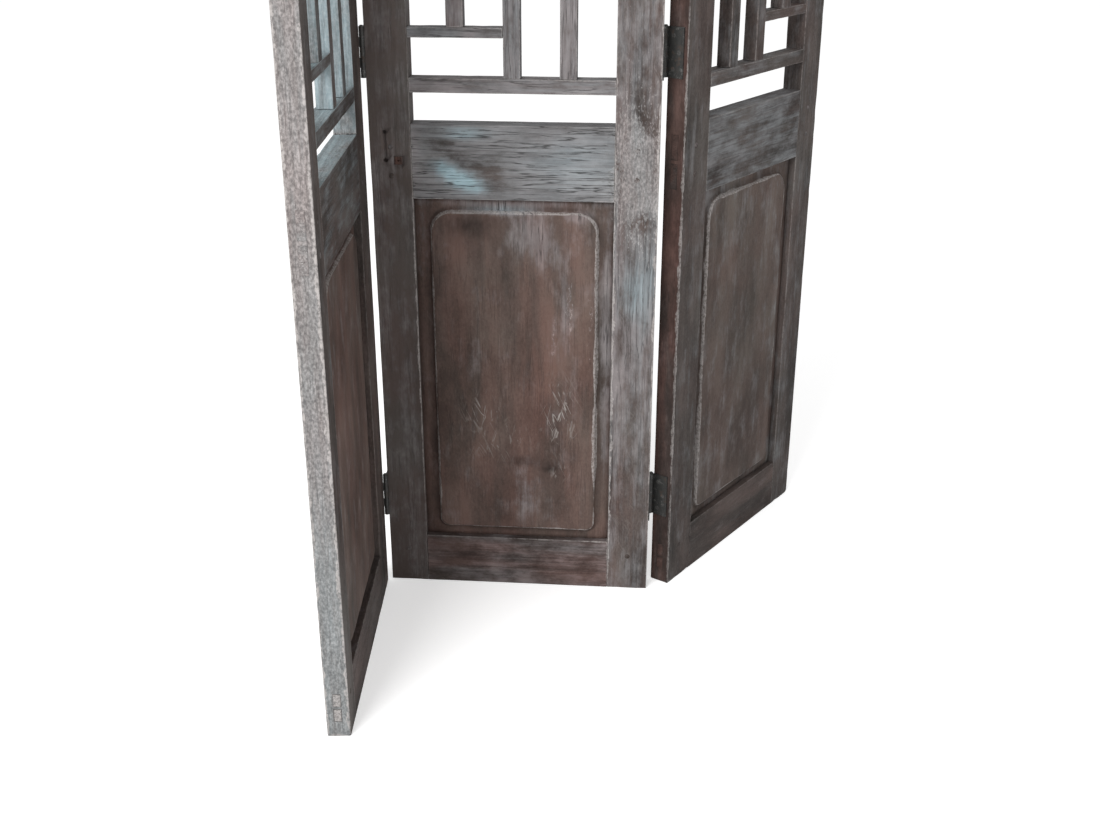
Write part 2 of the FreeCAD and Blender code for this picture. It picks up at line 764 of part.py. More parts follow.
def make_screws(leaf):
    """The countersunk screws that hold this leaf's hinge plates to its edges."""
    screws = []
    for (edge_leaf, side), in_front in HINGED_EDGES.items():
        if edge_leaf != leaf:
            continue
        inward = 1 if side == 0 else -1
        edge = "0" if side == 0 else "leaf_width"
        for low in hinge_lows().values():
            for row, up in screw_spots():
                head = doc.addObject("Part::Cone", "ScrewHead")
                bind(head, Radius1="screw_head_radius - screw_clearance", Radius2="screw_shank_radius",
                     Height="leaf_plate_thickness")
                shank = doc.addObject("Part::Cylinder", "ScrewShank")
                bind(shank, Radius="screw_shank_radius",
                     Height="leaf_plate_thickness + screw_length - screw_tip_gap")
                screw = join(head, shank)
                screw.Placement.Rotation = FreeCAD.Rotation(FreeCAD.Vector(0, 1, 0), QUARTER_TURN * inward)
                screw.setExpression("Placement.Base.x", formula(f"{edge} - {inward} * leaf_plate_thickness"))
                screw.setExpression("Placement.Base.y", formula(screw_depth(in_front, row)))
                screw.setExpression("Placement.Base.z", formula(f"{low} + {up}"))
                screws.append(screw)
    bundle = group(screws)
    place(bundle, leaf)
    return bundle


for leaf in LEAVES:
    for side, stile in enumerate(LEAVES[leaf]["stiles"]):
        keep(make_stile(leaf, side), stile)
    for rail in RAILS:
        keep(make_rail(leaf, rail), f"{leaf}_{rail}")
    keep(make_field_board(leaf), f"{leaf}_field_board")
    for rail in LATTICE_RAILS:
        keep(make_lattice_rail(leaf, rail), f"{leaf}_{rail}")
    keep(make_crossbars(leaf), f"{leaf}_lattice_crossbars")
    keep(make_uprights(leaf), f"{leaf}_lattice_uprights")
    keep(make_pegs(leaf), f"{leaf}_pegs")
    keep(make_screws(leaf), f"{leaf}_hinge_screws")
keep(make_latch_plug(), "latch_plug")

# Each hinge stands on its pin axis: the left fold's in front of the leaves, the right's behind.
FOLDS = {
    "left": {
        "outer": ("leaf_width + half_gap", "-pin_standoff", -1),
        "centre": ("-half_gap", 1),
        "back": 1,
    },
    "right": {
        "outer": ("-half_gap", "leaf_thickness + pin_standoff", 1),
        "centre": ("leaf_width + half_gap", -1),
        "back": -1,
    },
}
for leaf, fold in FOLDS.items():
    outer_along, depth, outer_sign = fold["outer"]
    centre_along, centre_sign = fold["centre"]
    for level, low in hinge_lows().items():
        hinge = f"{level}_{leaf}_hinge"
        outer = make_hinge_leaf(outer_sign, fold["back"], "o")
        place(outer, leaf, outer_along, depth, low)
        keep(outer, f"{hinge}_{leaf}_leaf")
        centre = make_hinge_leaf(centre_sign, fold["back"], "c")
        place(centre, "centre", centre_along, depth, low)
        keep(centre, f"{hinge}_centre_leaf")
        pin = make_pin()
        place(pin, "centre", centre_along, depth, low)
        keep(pin, f"{hinge}_pin")

doc.recompute()
failed = [thing.Label for thing in doc.Objects if {"Invalid", "Error"} & set(thing.State)]
failed += [node.Label for node in nodes if node.Shape.isNull() or not node.Shape.isValid()]
if failed:
    raise RuntimeError(f"objects that failed: {failed}")

os.makedirs("parts", exist_ok=True)
for node in nodes:
    node.Shape.exportStep(f"parts/{node.Label}.step")
print(f"{len(nodes)} nodes written")
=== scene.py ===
from collections import namedtuple
import itertools
import json
import math

import bmesh
import bpy
import numpy as np
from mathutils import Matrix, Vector


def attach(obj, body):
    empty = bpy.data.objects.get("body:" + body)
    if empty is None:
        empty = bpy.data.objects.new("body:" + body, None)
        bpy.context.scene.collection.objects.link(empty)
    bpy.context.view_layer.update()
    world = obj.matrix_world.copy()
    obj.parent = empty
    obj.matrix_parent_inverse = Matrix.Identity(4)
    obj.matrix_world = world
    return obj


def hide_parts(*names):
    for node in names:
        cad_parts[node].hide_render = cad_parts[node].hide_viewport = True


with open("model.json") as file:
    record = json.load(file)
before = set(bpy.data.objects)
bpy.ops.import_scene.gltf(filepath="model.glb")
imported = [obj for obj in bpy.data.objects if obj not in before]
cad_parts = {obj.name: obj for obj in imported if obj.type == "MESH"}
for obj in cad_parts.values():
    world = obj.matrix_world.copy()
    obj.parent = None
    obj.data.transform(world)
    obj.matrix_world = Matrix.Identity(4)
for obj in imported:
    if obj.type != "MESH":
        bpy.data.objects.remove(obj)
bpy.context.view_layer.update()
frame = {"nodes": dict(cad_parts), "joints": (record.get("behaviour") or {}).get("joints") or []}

MM = 0.001
ALONG, DEPTH, UP = 0, 1, 2
# How near two points of a CAD mesh are one, and how near a point lies on a face.
WELD_GAP = 0.01 * MM
SAME_PLACE = 0.05 * MM

JOINTS = {joint["name"]: joint for joint in frame["joints"]}
# Each leaf's body, the joint it turns on, and its stiles from left to right.
Leaf = namedtuple("Leaf", "body joint stiles")
LEAVES = {
    "left": Leaf("left_leaf", "left_fold", ("left_outer_stile", "left_inner_stile")),
    "centre": Leaf("centre_leaf", None, ("centre_left_stile", "centre_right_stile")),
    "right": Leaf("right_leaf", "right_fold", ("right_inner_stile", "right_outer_stile")),
}
RAILS = ("bottom_rail", "lock_rail", "top_rail")
# The parts of a leaf's lattice and the direction of their grain.
LATTICE = (
    ("lower_lattice_rail", ALONG),
    ("upper_lattice_rail", ALONG),
    ("lattice_crossbars", ALONG),
    ("lattice_uprights", UP),
)
# Every solid takes the next seed, in the order of building.
SEED_STEP = 11
seeds = itertools.count(SEED_STEP, SEED_STEP)


def new_object(name, data):
    thing = bpy.data.objects.new(name, data)
    bpy.context.collection.objects.link(thing)
    return thing


# Leaf directions

def leaf_pivot(leaf):
    joint = LEAVES[leaf].joint
    if joint is None:
        return np.zeros(3)
    return np.array([*JOINTS[joint]["pos_m"][:2], 0.0])


def leaf_fold(leaf):
    """Degrees from flat at rest: a fold joint's lower limit is the flat screen."""
    joint = LEAVES[leaf].joint
    return 0.0 if joint is None else -JOINTS[joint]["range_deg"][0]


def turned(points, degrees):
    angle = math.radians(degrees)
    cosine, sine = math.cos(angle), math.sin(angle)
    out = points.copy()
    out[:, 0] = cosine * points[:, 0] - sine * points[:, 1]
    out[:, 1] = sine * points[:, 0] + cosine * points[:, 1]
    return out


def to_leaf(points, leaf):
    """World points as along, depth and height of a leaf laid flat, from its pivot."""
    return turned(points - leaf_pivot(leaf), -leaf_fold(leaf))


def to_world(points, leaf):
    return turned(points, leaf_fold(leaf)) + leaf_pivot(leaf)


def node_solids(node, leaf):
    """The points of each separate solid of a CAD node, in the leaf's own directions."""
    mesh = bmesh.new()
    mesh.from_mesh(frame["nodes"][node].data)
    bmesh.ops.remove_doubles(mesh, verts=mesh.verts, dist=WELD_GAP)
    seen = set()
    solids = []
    for first in mesh.verts:
        if first in seen:
            continue
        stack = [first]
        seen.add(first)
        island = []
        while stack:
            vert = stack.pop()
            island.append(tuple(vert.co))
            for edge in vert.link_edges:
                other = edge.other_vert(vert)
                if other not in seen:
                    seen.add(other)
                    stack.append(other)
        solids.append(to_leaf(np.array(island), leaf))
    mesh.free()
    return solids


def shoulder_box(points):
    """The box of a bar between its shoulders: as wide and high as its front face."""
    low, high = points.min(axis=0), points.max(axis=0)
    front = points[points[:, DEPTH] < low[DEPTH] + SAME_PLACE]
    low[[ALONG, UP]] = front[:, [ALONG, UP]].min(axis=0)
    high[[ALONG, UP]] = front[:, [ALONG, UP]].max(axis=0)
    return low, high


def node_box(node, leaf):
    return shoulder_box(node_solids(node, leaf)[0])


HEIGHT_DECIMALS = 5


def tenon_ends(points, at):
    """The boxes of the tenon end faces that lie at one end of a rail."""
    face = points[np.abs(points[:, ALONG] - at) < SAME_PLACE]
    heights = np.unique(np.round(face[:, UP], HEIGHT_DECIMALS))
    ends = []
    for low, high in zip(heights[0::2], heights[1::2]):
        ends.append((face[:, DEPTH].min(), low, face[:, DEPTH].max(), high))
    return ends


# Noise
HASH_PRIMES = np.array([374761393, 668265263, 2147483647])
SEED_PRIME, MIX_PRIME = 974711, 1274126177
HASH_MASK = 0xFFFF


def lattice_hash(cells, seed):
    mixed = cells @ HASH_PRIMES + seed * SEED_PRIME
    mixed = (mixed ^ (mixed >> 13)) * MIX_PRIME
    return ((mixed ^ (mixed >> 16)) & HASH_MASK) / float(HASH_MASK)


def value_noise(points, seed):
    """Smooth noise from 0 to 1 at points whose unit is the noise's own grain size."""
    cells = np.floor(points).astype(np.int64)
    blend = points - cells
    blend = blend * blend * (3.0 - 2.0 * blend)
    total = np.zeros(len(points))
    for corner in range(8):
        step = np.array([corner & 1, corner >> 1 & 1, corner >> 2 & 1])
        weight = np.prod(np.where(step, blend, 1.0 - blend), axis=1)
        total += weight * lattice_hash(cells + step, seed)
    return total


def smooth_ramp(values, low, high):
    share = np.clip((values - low) / (high - low), 0.0, 1.0)
    return share * share * (3.0 - 2.0 * share)


# Worn wood meshes
FAR_FROM_ARRIS = 50 * MM
TINY = 1e-9
# Rows near an arris as shares of its worn width, and the share of a side they may take.
EDGE_ROWS, EDGE_ROOM = (0.0, 0.35, 0.75, 1.3, 2.2), 0.45
BAR_EDGE, BAR_STEP, BAR_ACROSS = 2.6 * MM, 14 * MM, 11 * MM
# Size of rubbed stretches along and across the grain, and how chips and waves compare.
RUB_ALONG, RUB_ACROSS = 55 * MM, 16 * MM
CHIP_FINER, WAVE_COARSER = 2.3, 0.45
CHIP_SEED, WAVE_SEED = 7, 3
# Rounding of an arris as shares of its worn width: everywhere, where rubbed, where chipped.
ROUND_LEAST, ROUND_RUBBED, ROUND_CHIPPED = 0.25, 0.4, 0.8
CHIP_FROM, CHIP_FULL = 0.68, 0.92
ROUND_MOST = 0.3
# How far a face is planed down, in mm, and how far from the arris that is full.
SUNK_LEAST, SUNK_WAVE, SUNK_FROM_ARRIS = 0.3, 0.5, 9 * MM


def stations(low, high, edge, step):
    """Places from low to high, close together near both ends for the worn edges."""
    length = high - low
    close = [row * edge for row in EDGE_ROWS if row * edge < EDGE_ROOM * length]
    inner = max(1, int(round((length - 2.0 * close[-1]) / step)))
    middle = np.linspace(close[-1], length - close[-1], inner + 1)[1:-1]
    rest = [length - place for place in reversed(close)]
    return low + np.array(close + list(middle) + rest)


def surface_lattice(axes):
    """Points and quads of a closed box surface through three lists of stations."""
    counts = [len(axis) for axis in axes]
    grid = np.stack(np.meshgrid(*axes, indexing="ij"), axis=-1)
    spot = np.indices(counts)
    on_skin = np.zeros(counts, dtype=bool)
    for axis in range(3):
        on_skin |= (spot[axis] == 0) | (spot[axis] == counts[axis] - 1)
    index = np.full(counts, -1)
    index[on_skin] = np.arange(on_skin.sum())
    quads = []
    for axis in range(3):
        for side in (0, -1):
            sheet = np.take(index, side, axis=axis)
            a, b, c, d = sheet[:-1, :-1], sheet[1:, :-1], sheet[1:, 1:], sheet[:-1, 1:]
            flip = (side == 0) != (axis == 1)
            order = (a, d, c, b) if flip else (a, b, c, d)
            quads.append(np.stack(order, axis=-1).reshape(-1, 4))
    return grid[on_skin], np.concatenate(quads)


def edge_distance(points, low, high):
    """How far each point on a box's skin is from the nearest arris."""
    gaps = np.sort(np.minimum(points - low, high - points), axis=1)
    return np.maximum(gaps[:, 1], 0.0)


def worn_block(low, high, grain_axis, seed, edge=BAR_EDGE, wear=1.0, step=BAR_STEP, across=BAR_ACROSS):
    """A hand-planed bar with rubbed and chipped arrises and slightly wavy faces."""
    axes = []
    for axis in range(3):
        axes.append(stations(low[axis], high[axis], edge, step if axis == grain_axis else across))
    flat, quads = surface_lattice(axes)
    stretch = np.full(3, 1.0 / RUB_ACROSS)
    stretch[grain_axis] = 1.0 / RUB_ALONG
    rubbed = value_noise(flat * stretch, seed)
    chipped = smooth_ramp(value_noise(flat * stretch * CHIP_FINER, seed + CHIP_SEED), CHIP_FROM, CHIP_FULL)
    radius = edge * wear * (ROUND_LEAST + ROUND_RUBBED * rubbed + ROUND_CHIPPED * chipped)
    radius = np.minimum(radius, ROUND_MOST * (high - low).min())[:, None]
    core = np.clip(flat, low + radius, high - radius)
    away = flat - core
    away /= np.maximum(np.linalg.norm(away, axis=1, keepdims=True), TINY)
    arris = edge_distance(flat, low, high)
    wave = value_noise(flat * stretch * WAVE_COARSER, seed + WAVE_SEED)
    sunk = MM * wear * (SUNK_LEAST + SUNK_WAVE * wave) * smooth_ramp(arris, 0.0, SUNK_FROM_ARRIS)
    points = core + away * (radius - sunk[:, None])
    return {"points": points, "faces": quads, "arris": arris, "flat": flat}


def merged(blocks):
    whole = {key: [] for key in blocks[0]}
    count = 0
    for block in blocks:
        for key, values in block.items():
            whole[key].append(values + count if key == "faces" else values)
        count += len(block["points"])
    return {key: np.concatenate(values) for key, values in whole.items()}


# Fielded boards
FIELD_TOP_RADIUS, FIELD_BOTTOM_RADIUS = 36 * MM, 18 * MM
FIELD_SLOPE = 30.0
TONGUE_SHOWN = 3 * MM
# Grid lines over the slope as shares of its run, one outside it, then those of the corners.
SLOPE_ROWS, SLOPE_OUTSIDE = (0.0, 0.25, 0.5, 0.75, 1.0, 1.35, 1.8), 2.0 * MM
CORNER_FROM, CORNER_PAST, CORNER_STEP = 2.4, 3 * MM, 2.4 * MM
FIELD_STEP = 9 * MM
LINE_DECIMALS = 6
# Hand wear of the slope: its patches, how much wider it gets, how softly it starts and rises.
SLOPE_PATCH, SLOPE_WIDER, SLOPE_SOFT, SLOPE_EASE = 30 * MM, 0.5, 0.15, 0.85
# Waves of the field: depth, size across and along the grain, and runs from the edge to full.
FIELD_WAVE, WAVE_ACROSS, WAVE_ALONG, WAVE_FULL = 0.9 * MM, 38 * MM, 160 * MM, 6
# Where on its slope the field is pale: rubbed, and partly a painted highlight.
FIELD_CREST = 0.8


def outline_distance(along, up, low, high):
    """Signed distance to the field's outline with its round corners, negative inside."""
    radius = np.where(up > (low[1] + high[1]) / 2, FIELD_TOP_RADIUS, FIELD_BOTTOM_RADIUS)
    spot = np.stack([along, up], axis=-1)
    past = np.abs(spot - (low + high) / 2) - (high - low) / 2 + radius[:, None]
    outside = np.linalg.norm(np.maximum(past, 0.0), axis=-1)
    return outside + np.minimum(past.max(axis=-1), 0.0) - radius


def field_lines(low, high, field_low, field_high, run):
    """Grid places across a board, dense over the field's slope and round corners."""
    slope = np.array([-SLOPE_OUTSIDE] + [row * run for row in SLOPE_ROWS])
    corner = np.arange(CORNER_FROM * run, FIELD_TOP_RADIUS + CORNER_PAST, CORNER_STEP)
    side = np.concatenate([slope, corner])
    lines = [low, (low + field_low) / 2, high, (high + field_high) / 2]
    lines += list(field_low + side) + list(field_high - side)
    inner_low, inner_high = field_low + side[-1], field_high - side[-1]
    count = int((inner_high - inner_low) / FIELD_STEP)
    lines += list(np.linspace(inner_low, inner_high, count + 1)[1:-1])
    return np.unique(np.round(lines, LINE_DECIMALS))


def fielded_board(points, opening_low, opening_high, seed):
    """A board whose raised field has round corners, hand-worn slopes and a plain back."""
    low, high = points.min(axis=0), points.max(axis=0)
    top = points[points[:, DEPTH] < low[DEPTH] + SAME_PLACE]
    tongue = points[points[:, ALONG] < low[ALONG] + SAME_PLACE]
    front, face = tongue[:, DEPTH].min(), low[DEPTH]
    rise = front - face
    run = rise * math.tan(math.radians(FIELD_SLOPE))
    field_low = top[:, [ALONG, UP]].min(axis=0) - run
    field_high = top[:, [ALONG, UP]].max(axis=0) + run
    start = opening_low - TONGUE_SHOWN
    end = opening_high + TONGUE_SHOWN
    across = field_lines(start[0], end[0], field_low[0], field_high[0], run)
    upward = field_lines(start[1], end[1], field_low[1], field_high[1], run)
    flat, quads = surface_lattice([across, np.array([front, high[DEPTH]]), upward])
    at_front = flat[:, DEPTH] < front + SAME_PLACE
    reach = -outline_distance(flat[:, ALONG], flat[:, UP], field_low, field_high)
    worn = value_noise(flat / SLOPE_PATCH, seed)
    slope = run * (1.0 + SLOPE_WIDER * worn)
    height = rise * smooth_ramp(reach, -SLOPE_SOFT * run, slope) ** SLOPE_EASE
    wave_size = np.array([WAVE_ACROSS, 1.0, WAVE_ALONG])
    wave = FIELD_WAVE * value_noise(flat / wave_size, seed + 1)
    height -= wave * smooth_ramp(reach, run, WAVE_FULL * run)
    shaped = flat.copy()
    shaped[:, DEPTH] -= np.where(at_front, np.maximum(height, 0.0), 0.0)
    arris = np.where(at_front, np.abs(reach - FIELD_CREST * run), FAR_FROM_ARRIS)
    board = {"points": shaped, "faces": quads, "arris": arris, "flat": flat}
    return board, reach


# Holes
RING_SIDES = 20


def cut(block, low, high, cutters):
    """A block less the holes of the cutters, which are used up."""
    mesh = bpy.data.meshes.new("cut")
    mesh.from_pydata(block["points"].tolist(), [], block["faces"].tolist())
    whole = new_object("cut", mesh)
    for cutter in cutters:
        change = whole.modifiers.new("hole", "BOOLEAN")
        change.operation = "DIFFERENCE"
        change.solver = "EXACT"
        change.object = cutter
    bpy.context.view_layer.update()
    result = whole.evaluated_get(bpy.context.evaluated_depsgraph_get()).to_mesh()
    points = np.array([tuple(vert.co) for vert in result.vertices])
    faces = [list(face.vertices) for face in result.polygons]
    bpy.data.objects.remove(whole)
    for cutter in cutters:
        bpy.data.objects.remove(cutter)
    return {"points": points, "faces": faces, "flat": points, "arris": edge_distance(points, low, high)}


def cutter_prism(outline, front, back):
    """A straight cutter through depth with the given outline of (along, up) points."""
    count = len(outline)
    points = [(a, front, u) for a, u in outline] + [(a, back, u) for a, u in outline]
    faces = [list(range(count)), list(range(2 * count - 1, count - 1, -1))]
    for i in range(count):
        j = (i + 1) % count
        faces.append([j, i, i + count, j + count])
    mesh = bpy.data.meshes.new("cutter")
    mesh.from_pydata(points, [], faces)
    clean = bmesh.new()
    clean.from_mesh(mesh)
    bmesh.ops.recalc_face_normals(clean, faces=clean.faces)
    clean.to_mesh(mesh)
    clean.free()
    return new_object("cutter", mesh)


def ring(middle, radius):
    angles = np.arange(RING_SIDES) * 2 * math.pi / RING_SIDES
    return [(middle[0] + radius * math.cos(a), middle[1] + radius * math.sin(a)) for a in angles]


# Node materials

def add(tree, kind, out=0, settings=None, **inputs):
    """A shader node with its inputs set or linked by name, _n for the nth; gives one output."""
    node = tree.nodes.new("ShaderNode" + kind)
    for key, value in (settings or {}).items():
        setattr(node, key, value)
    for key, value in inputs.items():
        socket = node.inputs[int(key[1:])] if key[0] == "_" else node.inputs[key.replace("__", " ")]
        if isinstance(value, bpy.types.NodeSocket):
            tree.links.new(value, socket)
        else:
            socket.default_value = value
    return node.outputs[out]


def maths(tree, operation, a, b=0.0, c=0.0, clamp=False):
    settings = {"operation": operation, "use_clamp": clamp}
    return add(tree, "Math", settings=settings, _0=a, _1=b, _2=c)


def times(tree, a, b, clamp=False):
    return maths(tree, "MULTIPLY", a, b, clamp=clamp)


def weighted_sum(tree, pairs, base=0.0):
    total = base
    for value, weight in pairs:
        total = maths(tree, "MULTIPLY_ADD", value, weight, total)
    return total


def ramped(tree, value, low, high, start=0.0, end=1.0):
    return add(tree, "MapRange", settings={"interpolation_type": "SMOOTHSTEP"},
               Value=value, _1=low, _2=high, _3=start, _4=end)


def stretched_noise(tree, vector, layer):
    """Noise of a layer: cells per metre along and across the grain, detail, roughness, distortion."""
    along, across, detail, roughness, distortion = layer
    place = add(tree, "VectorMath", settings={"operation": "MULTIPLY"},
                _0=vector, _1=(along, across, across))
    return add(tree, "TexNoise", Vector=place, Scale=1.0, Detail=detail,
               Roughness=roughness, Distortion=distortion)


def blended(tree, factor, a, b, mode="MIX"):
    settings = {"data_type": "RGBA", "blend_type": mode}
    return add(tree, "Mix", 2, settings, _0=factor, _6=a, _7=b)


def colour_ramp(tree, value, stops):
    node = tree.nodes.new("ShaderNodeValToRGB")
    ramp = node.color_ramp
    while len(ramp.elements) < len(stops):
        ramp.elements.new(0.5)
    for element, (place, colour) in zip(ramp.elements, stops):
        element.position = place
        element.color = (*colour, 1.0)
    tree.links.new(value, node.inputs[0])
    return node.outputs[0]


def attribute(tree, name, out="Fac"):
    return add(tree, "Attribute", out, {"attribute_name": name})


def new_material(name):
    material = bpy.data.materials.new(name)
    material.use_nodes = True
    material.node_tree.nodes.clear()
    return material, material.node_tree


def show(tree, shader, kind="ShaderNodeOutputMaterial"):
    tree.links.new(shader, tree.nodes.new(kind).inputs["Surface"])


def sliding_mask(tree, noise, amount, start, slide, soft):
    """Where a noise passes a threshold that falls as the painted amount rises."""
    low = maths(tree, "MULTIPLY_ADD", amount, -slide, start)
    return ramped(tree, noise, low, maths(tree, "ADD", low, soft))


def thin_lines(tree, noise, width):
    """Fine lines along the middle level of a noise."""
    off = maths(tree, "ABSOLUTE", maths(tree, "SUBTRACT", noise, 0.5))
    return ramped(tree, off, 0.15 * width, width, 1.0, 0.0)


# Old wood: colours, then layers of noise as stretched_noise takes them.
LIME = ((0.36, (0.135, 0.126, 0.127)), (0.66, (0.345, 0.331, 0.336)))
CHALK = ((0.36, (0.140, 0.131, 0.127)), (0.50, (0.225, 0.215, 0.210)), (0.66, (0.34, 0.33, 0.325)))
CHALK_SHADE = ((0.35, (0.84, 0.84, 0.84)), (0.65, (1.16, 1.16, 1.16)))
MINT = ((0.36, (0.18, 0.238, 0.260)), (0.60, (0.40, 0.545, 0.600)))
SCUFF = (0.36, 0.33, 0.31, 1.0)
EDGE_PALE = (0.45, 0.42, 0.405, 1.0)
# Colour of soot, also used for painted shade.
SOOT_AND_SHADE = (0.014, 0.012, 0.011, 1.0)
WARM = (1.24, 0.84, 0.77, 1.0)
TINT = ((0.38, (1.05, 0.98, 0.955)), (0.62, (0.96, 1.01, 0.99)))
TONE_STOPS = (0.43, 0.52, 0.61)
WOOD_NOISE = {
    "band": (4, 26, 4, 0.55, 0.3),
    "streak": (2.6, 70, 8, 0.62, 0.25),
    "fibre": (18, 430, 3, 0.6, 0),
    "blotch": (6, 12, 6, 0.6, 0),
    "speckle": (190, 310, 3, 0.65, 0),
    "tint": (5, 9, 4, 0.55, 0),
    "film_streak": (8, 140, 9, 0.70, 0.2),
    "film_patch": (18, 34, 8, 0.66, 0),
    "chips": (120, 300, 5, 0.62, 0.5),
    "crack": (6, 118, 4, 0.55, 0.3),
}
SCRATCH_LINE = (11, 74, 2, 0.5, 0.6)
SCRATCH_GATE = (38, 60, 2, 0.5, 0)
SCRATCH_ANGLES, SCRATCH_WIDTH = (0.45, -0.25), 0.030
CRACK_WIDTH = 0.034
# Where a film or flakes start with no paint, how far paint lowers that, and the soft border.
FILM_MASK = (0.60, 0.42, 0.23)
FLAKE_MASK = (0.66, 0.50, 0.06)
# Chips of a rubbed arris: detail, roughness, level, and the soft border in metres.
WEAR_DETAIL, WEAR_ROUGHNESS, WEAR_LEVEL, WEAR_SOFT = 5.0, 0.62, 0.36, 0.0011
WOOD_RELIEF = 1.6 * MM
WOOD_GLOSS = 0.12


def bare_wood(tree, noise, tones, streaky):
    """Bare wood from dark to light, blended to the light tone as painted light where asked, tinted in
    patches.
    """
    tone = weighted_sum(tree, (
        (noise["blotch"], 0.62 - 0.32 * streaky),
        (noise["streak"], 0.17 * streaky),
        (noise["fibre"], 0.15 * streaky),
        (noise["band"], 0.26),
        (noise["speckle"], 0.16),
    ))
    bare = colour_ramp(tree, tone, tuple(zip(TONE_STOPS, tones)))
    bare = blended(tree, attribute(tree, "painted_light"), bare, (*tones[-1], 1.0))
    return blended(tree, 1.0, bare, colour_ramp(tree, noise["tint"], TINT), "MULTIPLY")


def lime_film(tree, noise, lime, streaky):
    """How much a film of lime wash covers, and its colour."""
    share = 0.15 + 0.30 * streaky
    cover = weighted_sum(tree, ((noise["film_patch"], 1.0 - share), (noise["film_streak"], share)))
    film = sliding_mask(tree, cover, lime, *FILM_MASK)
    thick = maths(tree, "MULTIPLY_ADD", lime, 0.75, 0.15)
    return times(tree, film, thick, clamp=True), colour_ramp(tree, cover, LIME)


def chalk_flakes(tree, noise, mint, minty):
    """Where chalky flakes sit, and their colour."""
    flake = attribute(tree, "flake")
    chips = weighted_sum(tree, ((noise["chips"], 0.6), (noise["film_patch"], 0.4)))
    flaked = sliding_mask(tree, chips, flake, *FLAKE_MASK)
    flaked = times(tree, flaked, ramped(tree, flake, 0.0, 0.25, 0.0, 0.9))
    chalk = colour_ramp(tree, noise["speckle"], CHALK)
    chalk = blended(tree, times(tree, mint, 0.55), chalk, minty)
    shade = colour_ramp(tree, noise["film_patch"], CHALK_SHADE)
    return flaked, blended(tree, 1.0, chalk, shade, "MULTIPLY")


def warmed(tree, noise, colour):
    """A colour turned reddish brown where it is painted warm."""
    warm = times(tree, attribute(tree, "warm"),
                 ramped(tree, noise["band"], 0.35, 0.62, 0.3, 1.3), clamp=True)
    return blended(tree, warm, colour, blended(tree, 1.0, colour, WARM, "MULTIPLY"))


def slanted_scratches(tree, grain, angle):
    """Short straight scratches at an angle to the grain."""
    place = add(tree, "VectorRotate", settings={"rotation_type": "Z_AXIS"},
                Vector=grain, Angle=angle)
    line = thin_lines(tree, stretched_noise(tree, place, SCRATCH_LINE), SCRATCH_WIDTH)
    gate = ramped(tree, stretched_noise(tree, place, SCRATCH_GATE), 0.48, 0.56)
    return times(tree, line, gate)


def scuffs(tree, grain):
    first, second = [slanted_scratches(tree, grain, angle) for angle in SCRATCH_ANGLES]
    both = maths(tree, "MAXIMUM", first, second)
    return times(tree, both, attribute(tree, "scuff"), clamp=True)


def pale_arris(tree, grain, noise, chip_scale, chip_depth):
    """Where an arris is pale: rubbed, and in places a painted highlight, with a chipped border."""
    rub_and_highlight = attribute(tree, "rub_and_highlight")
    wear = stretched_noise(tree, grain, (chip_scale, chip_scale, WEAR_DETAIL, WEAR_ROUGHNESS, 0.0))
    bite = times(tree, maths(tree, "SUBTRACT", wear, WEAR_LEVEL), chip_depth)
    edge = maths(tree, "SUBTRACT", attribute(tree, "arris"), times(tree, bite, rub_and_highlight))
    edge = ramped(tree, edge, 0.0, WEAR_SOFT, 1.0, 0.0)
    edge = times(tree, edge, ramped(tree, rub_and_highlight, 0.0, 1.2, 0.0, 0.75))
    return times(tree, edge, ramped(tree, noise["speckle"], 0.36, 0.58, 0.3, 1.0))


